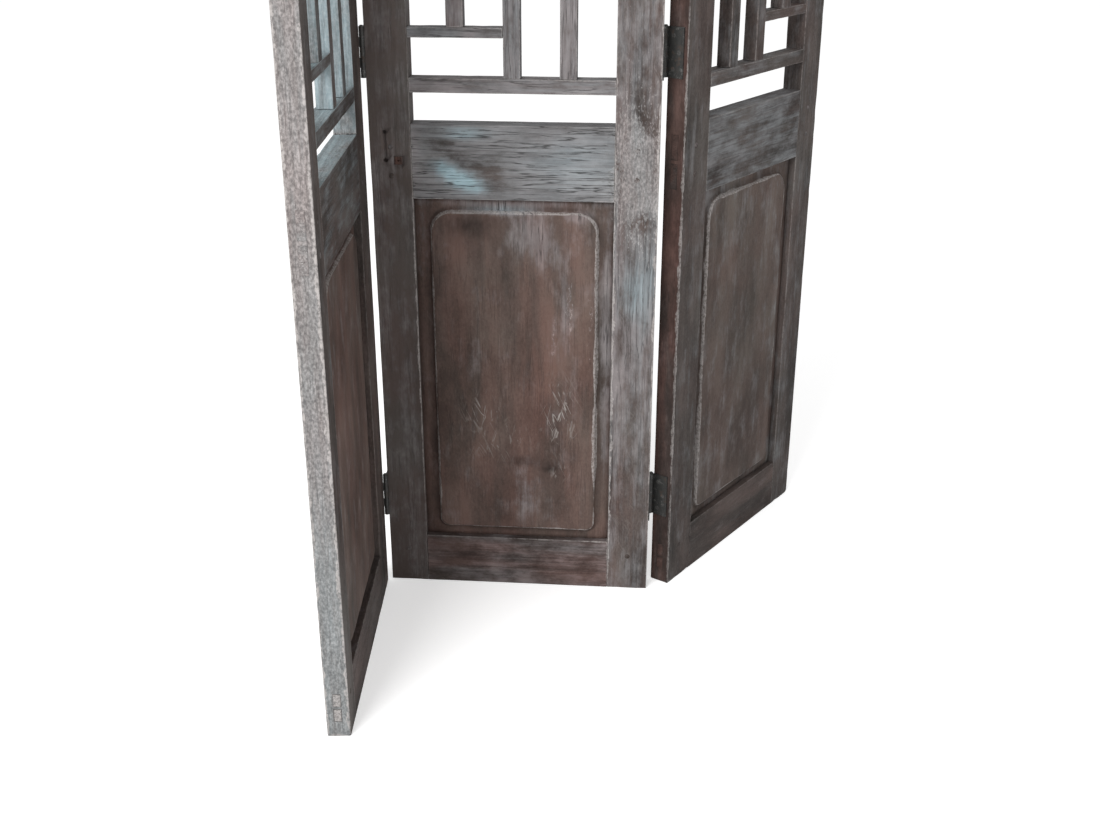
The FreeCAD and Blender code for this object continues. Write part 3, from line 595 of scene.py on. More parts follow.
def wood(name, dark, middle, light, bump=0.55, streaky=1.0, chip_scale=42.0, chip_depth=0.010):
    """Old wood: grain, a film of lime wash, chalky flakes, rubbed edges, a few of them painted highlight,
    scuffs, cracks, and soot that is in places painted shade.
    """
    material, tree = new_material(name)
    grain = attribute(tree, "grain", "Vector")
    lime = attribute(tree, "lime")
    noise = {key: stretched_noise(tree, grain, layer) for key, layer in WOOD_NOISE.items()}
    mint = times(tree, attribute(tree, "mint"), ramped(tree, noise["blotch"], 0.25, 0.50))
    minty = colour_ramp(tree, noise["film_streak"], MINT)

    colour = bare_wood(tree, noise, (dark, middle, light), streaky)
    film, pale = lime_film(tree, noise, lime, streaky)
    colour = blended(tree, film, colour, blended(tree, mint, pale, minty))
    flaked, chalk = chalk_flakes(tree, noise, mint, minty)
    colour = warmed(tree, noise, blended(tree, flaked, colour, chalk))
    scratch = scuffs(tree, grain)
    colour = blended(tree, scratch, colour, SCUFF)
    colour = blended(tree, pale_arris(tree, grain, noise, chip_scale, chip_depth), colour, EDGE_PALE)
    crack = thin_lines(tree, noise["crack"], CRACK_WIDTH)
    crack = times(tree, crack, ramped(tree, noise["film_patch"], 0.40, 0.56))
    shown = times(tree, crack, ramped(tree, lime, 0.45, 0.95, 0.22, 0.74))
    patchy = ramped(tree, noise["film_patch"], 0.25, 0.65, 1.0, 0.5)
    # The soot attribute darkens the wood: dirt in most places, painted shade on faces that lie in shadow.
    dirt_and_shade = times(tree, attribute(tree, "soot_and_shade"), patchy)
    colour = blended(tree, maths(tree, "MAXIMUM", dirt_and_shade, shown, clamp=True), colour, SOOT_AND_SHADE)

    height = weighted_sum(tree, (
        (noise["streak"], 0.5 * streaky),
        (noise["fibre"], 0.25),
        (noise["film_patch"], 0.8),
        (noise["speckle"], 0.3),
        (flaked, 0.3),
        (scratch, -0.3),
        (crack, -0.6),
    ))
    relief = add(tree, "Bump", Strength=bump, Distance=WOOD_RELIEF, Height=height)
    rough = weighted_sum(tree, ((noise["fibre"], 0.2), (film, 0.15)), 0.60)
    shader = add(tree, "BsdfPrincipled", Base__Color=colour, Roughness=rough, Normal=relief,
                 Specular__IOR__Level=WOOD_GLOSS)
    show(tree, shader)
    return material


PATCH_SCALE, PIT_SCALE = 95.0, 620.0
IRON_RELIEF = 0.4 * MM
IRON_METAL = 0.4
PIT_SHADE = 0.6


def iron(name, dark, rust, worn):
    """Dark hand-worked iron, rusty in patches and rubbed bright in others."""
    material, tree = new_material(name)
    place = add(tree, "TexCoord", out="Object")
    patch = add(tree, "TexNoise", Vector=place, Scale=PATCH_SCALE, Detail=7.0, Roughness=0.65)
    pits = add(tree, "TexNoise", Vector=place, Scale=PIT_SCALE, Detail=4.0, Roughness=0.6)
    rusty = ramped(tree, patch, 0.52, 0.70)
    shaded = tuple(PIT_SHADE * c for c in dark)
    colour = colour_ramp(tree, pits, ((0.35, shaded), (0.65, dark)))
    colour = blended(tree, rusty, colour, (*rust, 1.0))
    bright = ramped(tree, patch, 0.34, 0.46, 1.0, 0.0)
    bright = times(tree, bright, ramped(tree, pits, 0.40, 0.60))
    colour = blended(tree, bright, colour, (*worn, 1.0))
    rough = weighted_sum(tree, ((pits, 0.25), (rusty, 0.35)), 0.36)
    relief = add(tree, "Bump", Strength=0.4, Distance=IRON_RELIEF,
                 Height=maths(tree, "MULTIPLY_ADD", patch, 0.6, pits))
    shader = add(tree, "BsdfPrincipled", Base__Color=colour, Roughness=rough, Normal=relief,
                 Metallic=IRON_METAL)
    show(tree, shader)
    return material


MATERIALS = {
    "frame_wood": wood(
        "frame_wood", (0.036, 0.030, 0.028), (0.078, 0.065, 0.061), (0.128, 0.110, 0.104),
        streaky=0.65),
    "board_wood": wood(
        "board_wood", (0.068, 0.053, 0.047), (0.110, 0.084, 0.075), (0.152, 0.120, 0.107),
        bump=0.42, streaky=0.35, chip_scale=14.0, chip_depth=0.007),
    "peg_wood": wood(
        "peg_wood", (0.022, 0.017, 0.015), (0.055, 0.044, 0.039), (0.100, 0.084, 0.076)),
    "hinge_iron": iron(
        "hinge_iron", (0.052, 0.052, 0.050), (0.070, 0.050, 0.040), (0.17, 0.168, 0.16)),
    "screw_iron": iron(
        "screw_iron", (0.110, 0.108, 0.104), (0.110, 0.078, 0.060), (0.30, 0.295, 0.28)),
}

# How much of each finish a piece has, before the spots below.
PAINT = ("lime", "flake", "mint", "soot_and_shade", "warm", "rub_and_highlight", "scuff")
BASE_PAINT = {
    "left_outer_stile": (0.3, 0.04, 0.2, 0.05, 0, 0.7, 0),
    "left_inner_stile": (0.14, 0, 0, 0.05, 0.2, 0.4, 0),
    "left_bottom_rail": (0.25, 0.02, 0.15, 0.05, 0.1, 0.5, 0),
    "left_lock_rail": (0.38, 0.02, 0.4, 0.05, 0, 0.5, 0),
    "left_top_rail": (0.42, 0.02, 0.3, 0.05, 0, 0.5, 0),
    "left_field_board": (0.32, 0, 0, 0, 0.15, 0.8, 0),
    "centre_left_stile": (0.42, 0, 0, 0, 0.06, 0.4, 0),
    "centre_right_stile": (0.57, 0.15, 0.16, 0, 0.2, 0.7, 0.1),
    "centre_bottom_rail": (0.5, 0, 0, 0, 0.48, 0.4, 0),
    "centre_lock_rail": (0.87, 0.06, 0.1, 0, 0, 0.4, 0),
    "centre_top_rail": (0.76, 0.06, 0.1, 0, 0, 0.4, 0),
    "centre_field_board": (0.23, 0, 0, 0, 0.26, 0.8, 0),
    "right_inner_stile": (0.32, 0.02, 0.12, 0.05, 0.05, 0.6, 0),
    "right_outer_stile": (0.36, 0.02, 0.15, 0, 0, 0.5, 0),
    "right_bottom_rail": (0.24, 0, 0.05, 0.05, 0.2, 0.4, 0),
    "right_lock_rail": (0.57, 0.04, 0.2, 0, 0, 0.5, 0),
    "right_top_rail": (0.48, 0.02, 0.15, 0, 0.05, 0.5, 0),
    "right_field_board": (0.34, 0, 0.1, 0, 0, 1.5, 0),
    "latch_plug": (0.2, 0, 0, 0, 0.9, 0.3, 0),
}
LATTICE_PAINT = {
    "left": (0.4, 0.04, 0.35, 0.05, 0, 0.4, 0),
    "centre": (0.76, 0.08, 0.2, 0, 0.2, 0.6, 0),
    "right": (0.42, 0.04, 0.2, 0, 0.1, 0.5, 0),
}
PEG_PAINT = (0.5, 0, 0, 0, 0.1, 0, 0)
# How far the bare wood of a stile is blended to one even, lighter tone: painted light where the left leaf's
# shadow falls.
PAINTED_LIGHT_SHARE = {"centre_left_stile": 0.70}
# Faces whose finish differs from the piece's own; the red edge is also darkened with painted shade.
RAW_EDGE_FOOT = (0, 1.0, 0.3, 0, 0, 1.5, 0)
RAW_EDGE_HEAD = (0, 1.0, 0.15, 0, 0.22, 1.5, 0)
RAW_TENON = (0, 1.0, 0.1, 0, 0, 0.8, 0)
# Reddish brown hinge edge of the right leaf, its soot painted shade of the gap behind the centre leaf.
RED_EDGE_PAINTED_SHADE = (0.25, 0, 0, 0.66, 1.0, 0, 0)
LIT_REVEAL = (0, 1.3, 1.0, 0, 0, 0.4, 0)

# Spots on a leaf's front: centre, then reach, as shares of its width and of the lock rail's top, and
# how much of which finish is added, some of it painted shade and painted highlight.
SPOTS = {}
SPOTS["left"] = (
    (0.5, 0.6, 0.35, 0.2, {"warm": 0.15}),
    (0.15, 0.84, 0.06, 0.05, {"lime": 0.15}),
    (0, 0.6, 0.03, 1, {"rub_and_highlight": 0.6}),
)
SPOTS["centre"] = (
    # lock rail: mint smear, pale top edge, cooler right half, pale left end, barer patches
    (0.245, 0.921, 0.026, 0.011, {"mint": 1.2, "lime": 0.4}),
    (0.28, 0.907, 0.032, 0.013, {"mint": 1.5, "lime": 0.55}),
    (0.32, 0.892, 0.036, 0.012, {"mint": 1.5, "lime": 0.6}),
    (0.365, 0.88, 0.036, 0.01, {"mint": 1, "lime": 0.45}),
    (0.33, 0.985, 0.07, 0.01, {"lime": 0.4, "mint": 0.6}),
    (0.7, 0.93, 0.15, 0.05, {"lime": 0.2, "mint": 0.18}),
    (0.155, 0.93, 0.012, 0.05, {"lime": 0.35, "mint": -0.3}),
    (0.24, 0.95, 0.05, 0.04, {"lime": -0.36}),
    (0.42, 0.915, 0.08, 0.04, {"lime": -0.28}),
    # board: bright field top, soot, haze that runs to drips, rubbed outline that is partly painted
    # highlight, scuffs, dark marks
    (0.45, 0.833, 0.14, 0.009, {"lime": 0.95}),
    (0.45, 0.833, 0.1, 0.007, {"mint": 0.5}),
    (0.72, 0.824, 0.06, 0.012, {"lime": 0.6}),
    (0.31, 0.803, 0.1, 0.028, {"soot_and_shade": 0.95}),
    (0.37, 0.755, 0.014, 0.045, {"soot_and_shade": 0.55}),
    (0.56, 0.785, 0.09, 0.04, {"lime": 0.66}),
    (0.61, 0.74, 0.05, 0.045, {"lime": 0.4}),
    (0.68, 0.65, 0.018, 0.1, {"lime": 0.48}),
    (0.63, 0.58, 0.014, 0.07, {"lime": 0.36}),
    (0.68, 0.5, 0.03, 0.1, {"lime": 0.16}),
    (0.69, 0.64, 0.014, 0.07, {"flake": 0.5}),
    (0.64, 0.575, 0.012, 0.06, {"flake": 0.46}),
    (0.59, 0.775, 0.06, 0.03, {"flake": 0.24}),
    (0.77, 0.56, 0.02, 0.16, {"flake": 0.28}),
    (0.66, 0.48, 0.1, 0.15, {"warm": 0.3}),
    (0.175, 0.78, 0.01, 0.11, {"lime": 0.4}),
    (0.79, 0.48, 0.04, 0.35, {"rub_and_highlight": 1.4}),
    (0.21, 0.3, 0.03, 0.25, {"rub_and_highlight": 0.6}),
    (0.22, 0.76, 0.035, 0.08, {"rub_and_highlight": 1.3}),
    (0.5, 0.832, 0.25, 0.02, {"rub_and_highlight": 0.7}),
    (0.65, 0.135, 0.18, 0.03, {"rub_and_highlight": 0.6}),
    (0.37, 0.406, 0.05, 0.03, {"scuff": 0.9}),
    (0.66, 0.4, 0.05, 0.06, {"scuff": 1.2}),
    (0.66, 0.4, 0.04, 0.05, {"lime": 0.14}),
    (0.42, 0.34, 0.1, 0.04, {"scuff": 0.45}),
    (0.52, 0.294, 0.05, 0.009, {"soot_and_shade": 1.1}),
    (0.62, 0.28, 0.03, 0.01, {"soot_and_shade": 1.2}),
    (0.66, 0.27, 0.03, 0.012, {"scuff": 1}),
    (0.53, 0.215, 0.05, 0.06, {"lime": 0.42, "mint": 0.3}),
    (0.65, 0.19, 0.03, 0.05, {"lime": 0.22}),
    (0.45, 0.15, 0.4, 0.08, {"soot_and_shade": 0.1}),
    (0.17, 0.3, 0.03, 0.25, {"soot_and_shade": 0.35}),
    # board margin and the frame around it: washed at the top and right, rubbed arrises, that of the left
    # stile a painted highlight
    (0.5, 0.846, 0.4, 0.008, {"lime": 0.5}),
    (0.83, 0.52, 0.025, 0.35, {"lime": 0.6}),
    (0.83, 0.5, 0.025, 0.3, {"flake": 0.18}),
    # pale line along the left stile's inner arris: painted highlight
    (0.145, 0.6, 0.015, 0.3, {"rub_and_highlight": 1}),
    (0.856, 0.45, 0.015, 0.35, {"rub_and_highlight": 1.4}),
    # right stile: white crackle above, chipped arris, cool patch by the edge, darker foot
    (0.92, 0.91, 0.1, 0.13, {"flake": 0.5}),
    (0.92, 0.97, 0.1, 0.17, {"lime": -0.06}),
    (1, 0.8, 0.03, 0.28, {"rub_and_highlight": 1.3}),
    (0.96, 0.68, 0.05, 0.07, {"mint": 0.4}),
    (0.96, 0.68, 0.05, 0.08, {"lime": 0.25}),
    (0.9, 0.66, 0.03, 0.05, {"mint": 0.35}),
    (0.92, 0.5, 0.12, 0.2, {"lime": 0.1}),
    (0.92, 0.15, 0.12, 0.25, {"flake": -0.1, "lime": -0.19}),
    # bottom rail: dark left
    (0.3, 0.07, 0.15, 0.05, {"soot_and_shade": 0.15}),
)
SPOTS["right"] = (
    (0, 0.55, 0.03, 0.8, {"rub_and_highlight": 1.5}),
    (0.25, 0.84, 0.1, 0.02, {"lime": 0.25}),
    (0.3, 0.73, 0.02, 0.02, {"soot_and_shade": 0.4}),
    (0.1, 0.4, 0.12, 0.3, {"mint": 0.25}),
    (0.8, 0.3, 0.1, 0.25, {"mint": 0.25}),
    # lower part darkened: painted shade of a leaf turned away from the light
    (0.4, 0.18, 0.6, 0.4, {"soot_and_shade": 0.42}),
)
FLOOR_DIRT, FLOOR_DIRT_REACH = 0.30, 22 * MM
# Dirt in the seam around the tenon ends, deepest at the foot.
TENON_RIM = {"bottom_rail": 0.9, "lock_rail": 0.3, "top_rail": 0.3}
# Shares of a piece's depth where spots start to fade and are gone, and the most of any finish.
FRONT_FULL, FRONT_NONE = 0.3, 0.7
MOST_PAINT = 2.2


def leaf_extent(leaf):
    """The along range of a leaf, and the height of its lock rail's top."""
    first, last = [node_solids(stile, leaf)[0] for stile in LEAVES[leaf].stiles]
    rail = node_solids(leaf + "_lock_rail", leaf)[0]
    return first[:, ALONG].min(), last[:, ALONG].max(), rail[:, UP].max()


EXTENT = {leaf: leaf_extent(leaf) for leaf in LEAVES}


def paint_fields(leaf, base, block, faces=()):
    """A piece's finish at each point: its base, that of given faces, and the leaf's spots."""
    points = block["flat"]
    start, end, top = EXTENT[leaf]
    across = (points[:, ALONG] - start) / (end - start)
    upward = points[:, UP] / top
    depth = points[:, DEPTH]
    in_front = 1.0 - smooth_ramp((depth - depth.min()) / np.ptp(depth), FRONT_FULL, FRONT_NONE)
    amounts = np.tile(np.array(base), (len(points), 1))
    for mask, other in faces:
        amounts[mask] = other
    fields = dict(zip(PAINT, amounts.T))
    for place, height, reach, rise, added in SPOTS[leaf]:
        far = ((across - place) / reach) ** 2 + ((upward - height) / rise) ** 2
        for name, amount in added.items():
            fields[name] = fields[name] + amount * np.exp(-far) * in_front
    fields["soot_and_shade"] = fields["soot_and_shade"] + FLOOR_DIRT * np.exp(-points[:, UP] / FLOOR_DIRT_REACH)
    fields = {name: np.clip(values, 0.0, MOST_PAINT) for name, values in fields.items()}
    fields["arris"] = block["arris"]
    return fields


# Adds to the soot field: dirt in tenon seams, painted shade with dirt in a field's gutter.
def darkened(fields, more):
    fields["soot_and_shade"] = np.clip(fields["soot_and_shade"] + more, 0.0, 1.0)


# Order of directions for each way of the grain, and how far and fast a seed moves it.
GRAIN_ORDER = {ALONG: (ALONG, UP, DEPTH), DEPTH: (DEPTH, ALONG, UP), UP: (UP, ALONG, DEPTH)}
GRAIN_SHIFT = ((3.1, 12.9), (2.7, 78.2), (2.3, 37.7))
SCREW_SHARP = 40.0


def new_piece(node, leaf, block, fields, grain_axis, seed, slot, ending="_worn"):
    """A mesh on a leaf that stands for a CAD node, with what its material reads at each point."""
    points = block["points"]
    mesh = bpy.data.meshes.new(node + ending)
    mesh.from_pydata(to_world(points, leaf).tolist(), [], [list(face) for face in block["faces"]])
    shift = np.array([far * math.sin(rate * seed) for far, rate in GRAIN_SHIFT])
    grain = mesh.attributes.new("grain", "FLOAT_VECTOR", "POINT")
    grain.data.foreach_set("vector", (points[:, GRAIN_ORDER[grain_axis]] + shift).astype(np.float32).ravel())
    for key, values in fields.items():
        layer = mesh.attributes.new(key, "FLOAT", "POINT")
        layer.data.foreach_set("value", values.astype(np.float32))
    mesh.materials.append(MATERIALS[slot])
    mesh.polygons.foreach_set("use_smooth", np.ones(len(mesh.polygons), dtype=bool))
    if slot == "screw_iron":
        mesh.set_sharp_from_angle(angle=math.radians(SCREW_SHARP))
    piece = new_object(node + ending, mesh)
    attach(piece, LEAVES[leaf].body)
    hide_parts(node)


def on_face(block, axis, place):
    return np.abs(block["flat"][:, axis] - place) < SAME_PLACE


# Remains of the old latch on the centre leaf's left stile.
BOLT_RADIUS, BOLT_DEPTH = 3.5 * MM, 9 * MM
BOLT_RISE, BOLT_SIDE = 44 * MM, 20 * MM
GROOVE_HALF, GROOVE_DEPTH = 2 * MM, 2.5 * MM
SEAT_GAP = 0.3 * MM
NAIL_RADIUS = 1.6 * MM
PLUG_EDGE, PLUG_STEP = 1.5 * MM, 3 * MM
CUT_PAST = 2 * MM


def rectangle(left, bottom, right, top):
    return [(left, bottom), (right, bottom), (right, top), (left, top)]


def latch_cutters(front):
    """Cutters for the two bolt holes, the groove between them and the plug's seat."""
    plug = node_solids("latch_plug", "centre")[0]
    low, high = plug.min(axis=0), plug.max(axis=0)
    along = (low[ALONG] + high[ALONG]) / 2 - BOLT_SIDE
    height = (low[UP] + high[UP]) / 2
    start = front - CUT_PAST
    upper = height + BOLT_RISE
    groove = rectangle(along - GROOVE_HALF, height, along + GROOVE_HALF, upper)
    seat_low, seat_high = low - SEAT_GAP, high + SEAT_GAP
    seat = rectangle(seat_low[ALONG], seat_low[UP], seat_high[ALONG], seat_high[UP])
    return [
        cutter_prism(ring((along, height), BOLT_RADIUS), start, front + BOLT_DEPTH),
        cutter_prism(ring((along, upper), BOLT_RADIUS), start, front + BOLT_DEPTH),
        cutter_prism(groove, start, front + GROOVE_DEPTH),
        cutter_prism(seat, start, high[DEPTH]),
    ]


def add_latch_plug():
    seed = next(seeds)
    plug = node_solids("latch_plug", "centre")[0]
    low, high = plug.min(axis=0), plug.max(axis=0)
    middle = (low + high) / 2
    block = worn_block(low, high, UP, seed, edge=PLUG_EDGE, across=PLUG_STEP, step=PLUG_STEP)
    nail = cutter_prism(ring(middle[[ALONG, UP]], NAIL_RADIUS), low[DEPTH] - CUT_PAST, middle[DEPTH])
    block = cut(block, low, high, [nail])
    fields = paint_fields("centre", BASE_PAINT["latch_plug"], block)
    new_piece("latch_plug", "centre", block, fields, UP, seed, "peg_wood")


# Stiles
STILE_WEAR = 1.15
FOOT_RADIUS = 10 * MM
# Where the raw edge leaves its foot's finish and reaches its head's, in lock rail heights.
RAW_FOOT_TO, RAW_HEAD_FROM = 0.3, 0.8


def round_corner(block, low, high, radius):
    """Wears the foot of a bar round at its right lower corner."""
    points = block["points"]
    past_side = points[:, ALONG] - (high[ALONG] - radius)
    past_foot = low[UP] + radius - points[:, UP]
    past = np.stack([past_side, past_foot], axis=1)
    reach = np.linalg.norm(past, axis=1)
    outside = (past > 0).all(axis=1) & (reach > radius)
    share = np.where(outside, radius / np.maximum(reach, TINY), 1.0)
    points[outside, ALONG] = high[ALONG] - radius + (past_side * share)[outside]
    points[outside, UP] = low[UP] + radius - (past_foot * share)[outside]


def stile_faces(node, block, low, top):
    """Faces of a stile whose finish differs from its own, the red edge with painted shade: masks of points
    and finishes.
    """
    left_side = on_face(block, ALONG, low[ALONG])
    if node == "left_outer_stile":
        share = smooth_ramp(block["flat"][left_side, UP], RAW_FOOT_TO * top, RAW_HEAD_FROM * top)
        return [(left_side, np.outer(1.0 - share, RAW_EDGE_FOOT) + np.outer(share, RAW_EDGE_HEAD))]
    if node == "left_inner_stile":
        return [(left_side & (block["flat"][:, UP] > top), LIT_REVEAL)]
    if node == "right_inner_stile":
        return [(left_side, RED_EDGE_PAINTED_SHADE)]
    return []


def add_stile(leaf, node):
    seed = next(seeds)
    low, high = node_box(node, leaf)
    block = worn_block(low, high, UP, seed, wear=STILE_WEAR)
    faces = stile_faces(node, block, low, EXTENT[leaf][2])
    if node == "right_outer_stile":
        round_corner(block, low, high, FOOT_RADIUS)
    if node == "centre_left_stile":
        block = cut(block, low, high, latch_cutters(low[DEPTH]))
    fields = paint_fields(leaf, BASE_PAINT[node], block, faces)
    fields["painted_light"] = np.full(len(block["points"]), PAINTED_LIGHT_SHARE.get(node, 0.0))
    new_piece(node, leaf, block, fields, UP, seed, "frame_wood")


# Rails
TENON_EDGE, TENON_WEAR, TENON_STEP = 1.0 * MM, 0.25, 40 * MM
# The seam around a tenon's end, from where its dirt starts to where it is full.
RIM_START, RIM_FULL = 1.6 * MM, 0.4 * MM


def rail_blocks(leaf, rail, seed, low, high):
    """A rail with its tenons' ends as one block, and how far each point is in a tenon's seam."""
    node = f"{leaf}_{rail}"
    solid = node_solids(node, leaf)[0]
    bar = worn_block(low, high, ALONG, seed)
    blocks = [bar]
    rims = [np.zeros(len(bar["points"]))]
    start, end = EXTENT[leaf][:2]
    spans = ((solid[:, ALONG].min(), start, low[ALONG]), (solid[:, ALONG].max(), high[ALONG], end))
    for reach, near, far in spans:
        for front, bottom, back, top in tenon_ends(solid, reach):
            tenon = worn_block(np.array([near, front, bottom]), np.array([far, back, top]), ALONG,
                               seed + len(blocks), edge=TENON_EDGE, wear=TENON_WEAR, step=TENON_STEP)
            rims.append(smooth_ramp(tenon["arris"], RIM_START, RIM_FULL))
            tenon["arris"][:] = 0.0 if node == "left_bottom_rail" else FAR_FROM_ARRIS
            blocks.append(tenon)
    return merged(blocks), np.concatenate(rims)


def rail_faces(leaf, rail, block, low, high):
    """Faces of a rail whose finish differs from its own, the right leaf's ends with painted shade."""
    outer = block["flat"][:, ALONG] < low[ALONG]
    faces = []
    if leaf == "left":
        faces.append((outer, RAW_TENON if rail == "bottom_rail" else RAW_EDGE_HEAD))
        if rail == "lock_rail":
            faces.append((on_face(block, UP, high[UP]), LIT_REVEAL))
    if leaf == "right":
        faces.append((outer, RED_EDGE_PAINTED_SHADE))
    return faces


def add_rail(leaf, rail):
    seed = next(seeds)
    node = f"{leaf}_{rail}"
    low, high = node_box(node, leaf)
    block, rim = rail_blocks(leaf, rail, seed, low, high)
    fields = paint_fields(leaf, BASE_PAINT[node], block, rail_faces(leaf, rail, block, low, high))
    darkened(fields, TENON_RIM[rail] * rim)
    new_piece(node, leaf, block, fields, ALONG, seed, "frame_wood")


# Lattice
LATTICE_EDGE, LATTICE_ACROSS = 2.2 * MM, 8 * MM


def add_lattice(leaf, group, axis):
    node = f"{leaf}_{group}"
    blocks = []
    reveals = []
    for solid in node_solids(node, leaf):
        seed = next(seeds)
        low, high = shoulder_box(solid)
        bar = worn_block(low, high, axis, seed, edge=LATTICE_EDGE, across=LATTICE_ACROSS)
        blocks.append(bar)
        reveals.append(on_face(bar, UP, high[UP]) | on_face(bar, ALONG, low[ALONG]))
    block = merged(blocks)
    faces = [(np.concatenate(reveals), LIT_REVEAL)] if leaf == "left" else []
    fields = paint_fields(leaf, LATTICE_PAINT[leaf], block, faces)
    new_piece(node, leaf, block, fields, axis, seed, "frame_wood")


# Boards
# Painted shade and dirt in the gutter around a field: how far out it lies, how wide it is and how much there
# is.
GUTTER_OUT, GUTTER_WIDTH, GUTTER_SHADE_AND_DIRT = 1.5 * MM, 2.0 * MM, 0.5


def board_opening(leaf):
    """The corners of a leaf's board opening, as (along, up)."""
    names = (*LEAVES[leaf].stiles, leaf + "_bottom_rail", leaf + "_lock_rail")
    left, right, bottom, lock = [node_box(name, leaf) for name in names]
    return np.array([left[1][ALONG], bottom[1][UP]]), np.array([right[0][ALONG], lock[0][UP]])


def add_board(leaf):
    seed = next(seeds)
    node = leaf + "_field_board"
    board, reach = fielded_board(node_solids(node, leaf)[0], *board_opening(leaf), seed)
    fields = paint_fields(leaf, BASE_PAINT[node], board)
    darkened(fields, GUTTER_SHADE_AND_DIRT * np.exp(-((reach + GUTTER_OUT) / GUTTER_WIDTH) ** 2))
    new_piece(node, leaf, board, fields, UP, seed, "board_wood")


# Pegs
PEG_SIDES = 18
# Rings of a peg's end: how far in from it, and the share of the peg's radius.
PEG_END = ((0.0, 0.0), (0.0, 0.55), (0.15 * MM, 0.9), (0.7 * MM, 1.0))
PEG_WHITTLED, PEG_FACETS = 0.07, 2.2
PEG_FROM_ARRIS = 0.4 * MM


def worn_peg(low, high, seed):
    """A peg whittled by hand, its ends rubbed a little round."""
    middle = (low + high) / 2
    radius = (high[ALONG] - low[ALONG]) / 2
    rings = [(low[DEPTH] + inset, share) for inset, share in PEG_END]
    rings += [(high[DEPTH] - inset, share) for inset, share in reversed(PEG_END)]
    angles = np.arange(PEG_SIDES) * 2 * math.pi / PEG_SIDES
    around = np.stack([np.cos(angles), np.sin(angles), angles * 0], axis=1)
    whittled = 1.0 - PEG_WHITTLED * value_noise(around * PEG_FACETS, seed)
    points, faces, arris = [], [], []
    for depth, share in rings:
        reach = radius * share * whittled
        points.append(np.stack([middle[ALONG] + reach * np.cos(angles), np.full(PEG_SIDES, depth),
                                middle[UP] + reach * np.sin(angles)], axis=1))
        arris.append(np.full(PEG_SIDES, radius * abs(1.0 - share) + PEG_FROM_ARRIS))
    for level in range(len(rings) - 1):
        a, b = level * PEG_SIDES, (level + 1) * PEG_SIDES
        for i in range(PEG_SIDES):
            j = (i + 1) % PEG_SIDES
            faces.append([a + i, a + j, b + j, b + i])
    points, arris = np.concatenate(points), np.concatenate(arris)
    return {"points": points, "faces": np.array(faces), "flat": points.copy(), "arris": arris}


def add_pegs(leaf):
    node = leaf + "_pegs"
    blocks = []
    for solid in node_solids(node, leaf):
        seed = next(seeds)
        blocks.append(worn_peg(solid.min(axis=0), solid.max(axis=0), seed))
    block = merged(blocks)
    fields = paint_fields(leaf, PEG_PAINT, block)
    new_piece(node, leaf, block, fields, DEPTH, seed, "peg_wood")


# Screws
SLOT_HALF, SLOT_WALL, SLOT_DEPTH = 0.45 * MM, 0.06 * MM, 0.9 * MM
# Rows across a screw's head as shares of its radius, points in each row, and the head's rim.
HEAD_ROWS, HEAD_COLUMNS, HEAD_RIM = (0.45, 0.7, 0.88, 0.97), 9, 0.2 * MM
SLOT_TURN = 0.7


def slotted_screw(points, turn):
    """A countersunk screw with a slot across its head."""
    low, high = points.min(axis=0), points.max(axis=0)
    middle = (low + high) / 2
    spreads = []
    for end in (low[ALONG], high[ALONG]):
        spreads.append(np.ptp(points[np.abs(points[:, ALONG] - end) < SAME_PLACE][:, UP]) / 2)
    radius, shank = max(spreads), min(spreads)
    face, tip = (low[ALONG], high[ALONG]) if spreads[0] > spreads[1] else (high[ALONG], low[ALONG])
    inward = math.copysign(1.0, tip - face)
    half = np.array([SLOT_HALF, SLOT_HALF + SLOT_WALL] + [row * radius for row in HEAD_ROWS])
    rows = np.concatenate([-half[::-1], half])
    columns = np.linspace(-1.0, 1.0, HEAD_COLUMNS)
    flat, quads = surface_lattice([columns, rows, np.arange(4.0)])
    level = flat[:, 2].astype(int)
    share = np.array([1.0, 1.0, shank / radius, shank / radius])[level]
    depth = np.array([0.0, HEAD_RIM, radius - shank, abs(tip - face)])[level]
    in_slot = (level == 0) & (np.abs(flat[:, 1]) < SLOT_HALF + SLOT_WALL / 2)
    depth = depth + SLOT_DEPTH * in_slot
    across = flat[:, 0] * np.sqrt(radius ** 2 - flat[:, 1] ** 2) * share
    upward = flat[:, 1] * share
    shaped = np.stack([
        face + inward * depth,
        middle[DEPTH] + across * math.cos(turn) - upward * math.sin(turn),
        middle[UP] + across * math.sin(turn) + upward * math.cos(turn),
    ], axis=1)
    return {"points": shaped, "faces": quads if inward > 0 else quads[:, ::-1]}


def add_screws(leaf):
    node = leaf + "_hinge_screws"
    blocks = []
    for solid in node_solids(node, leaf):
        seed = next(seeds)
        blocks.append(slotted_screw(solid, SLOT_TURN * seed))
    new_piece(node, leaf, merged(blocks), {}, UP, seed, "screw_iron", "_slotted")


# The pieces of each leaf
for leaf in LEAVES:
    for stile in LEAVES[leaf].stiles:
        add_stile(leaf, stile)
    for rail in RAILS:
        add_rail(leaf, rail)
    for group, axis in LATTICE:
        add_lattice(leaf, group, axis)
    add_board(leaf)
    add_pegs(leaf)
    add_screws(leaf)
add_latch_plug()

# The hinges keep their CAD shapes.
for name, node in frame["nodes"].items():
    if "_hinge_" in name and not name.endswith("screws"):
        node.data.materials.clear()
        node.data.materials.append(MATERIALS["hinge_iron"])


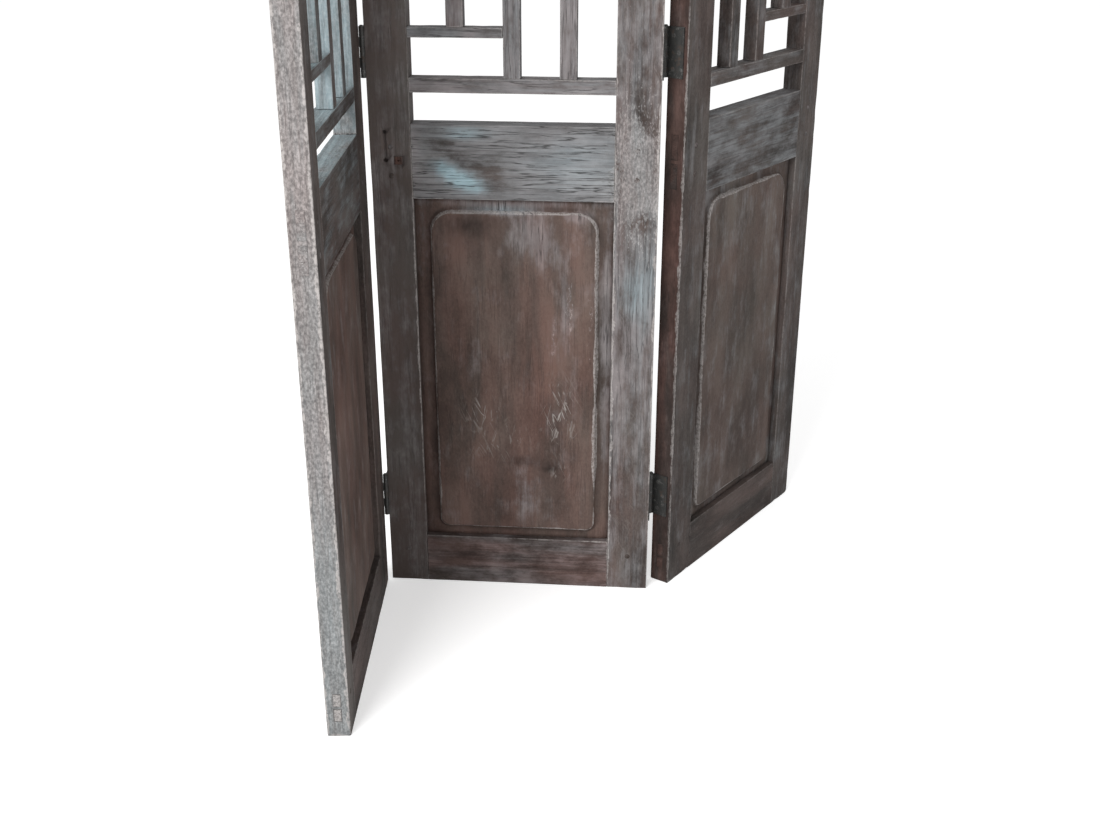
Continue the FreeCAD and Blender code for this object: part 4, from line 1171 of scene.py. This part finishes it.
# Floor, light and camera
FLOOR_SIDE, FLOOR_GREY, FLOOR_GLOW = 60.0, 0.90, 0.47
SKY_LIGHT, SKY_SEEN = 0.6, 0.4
WHITE = (1.0, 1.0, 1.0, 1.0)
KEY_PLACE, KEY_TARGET, KEY_SIDE, KEY_POWER = (-1.6, -3.6, 2.9), (0.1, 0.0, 0.7), 2.2, 180.0
CAMERA_PLACE, CAMERA_DOWN, CAMERA_TURN = (0.2233, -2.0693, 1.2232), 23.41, 4.66
SENSOR_WIDTH, LENS = 36.0, 44.04


def seen_directly(tree):
    """1 for what the camera sees itself or in a gloss."""
    rays = tree.nodes.new("ShaderNodeLightPath")
    mirrored = maths(tree, "MAXIMUM", rays.outputs["Is Glossy Ray"], rays.outputs["Is Transmission Ray"])
    return maths(tree, "MAXIMUM", rays.outputs["Is Camera Ray"], mirrored)


def pale_floor():
    """A material that takes a shadow and is white where it is lit and seen."""
    material, tree = new_material("pale_floor")
    paper = add(tree, "BsdfDiffuse", Color=(FLOOR_GREY, FLOOR_GREY, FLOOR_GREY, 1.0))
    strength = times(tree, seen_directly(tree), FLOOR_GLOW)
    glow = add(tree, "Emission", Color=WHITE, Strength=strength)
    show(tree, add(tree, "AddShader", _0=paper, _1=glow))
    return material


half = FLOOR_SIDE / 2
floor_mesh = bpy.data.meshes.new("floor")
floor_mesh.from_pydata([(x, y, 0) for x, y in rectangle(-half, -half, half, half)], [], [(0, 1, 2, 3)])
floor_mesh.materials.append(pale_floor())
floor = new_object("floor", floor_mesh)

# A white studio all around, brighter where it is seen than where it lights.
world = bpy.data.worlds.new("studio")
bpy.context.scene.world = world
world.use_nodes = True
sky = world.node_tree
sky.nodes.clear()
sky_strength = maths(sky, "MULTIPLY_ADD", seen_directly(sky), SKY_SEEN, SKY_LIGHT)
show(sky, add(sky, "Background", Color=WHITE, Strength=sky_strength), "ShaderNodeOutputWorld")

key_data = bpy.data.lights.new("key", "AREA")
key_data.shape = "SQUARE"
key_data.size = KEY_SIDE
key_data.energy = KEY_POWER
key = new_object("key", key_data)
key.location = KEY_PLACE
key.rotation_mode = "QUATERNION"
key.rotation_quaternion = (Vector(KEY_TARGET) - Vector(KEY_PLACE)).to_track_quat("-Z", "Y")

camera_data = bpy.data.cameras.new("camera")
camera_data.sensor_width = SENSOR_WIDTH
camera_data.lens = LENS
camera = new_object("camera", camera_data)
camera.location = CAMERA_PLACE
camera.rotation_euler = (math.radians(90.0 - CAMERA_DOWN), 0.0, math.radians(CAMERA_TURN))
bpy.context.scene.camera = camera
bpy.context.scene.view_settings.view_transform = "Standard"

bpy.context.view_layer.update()
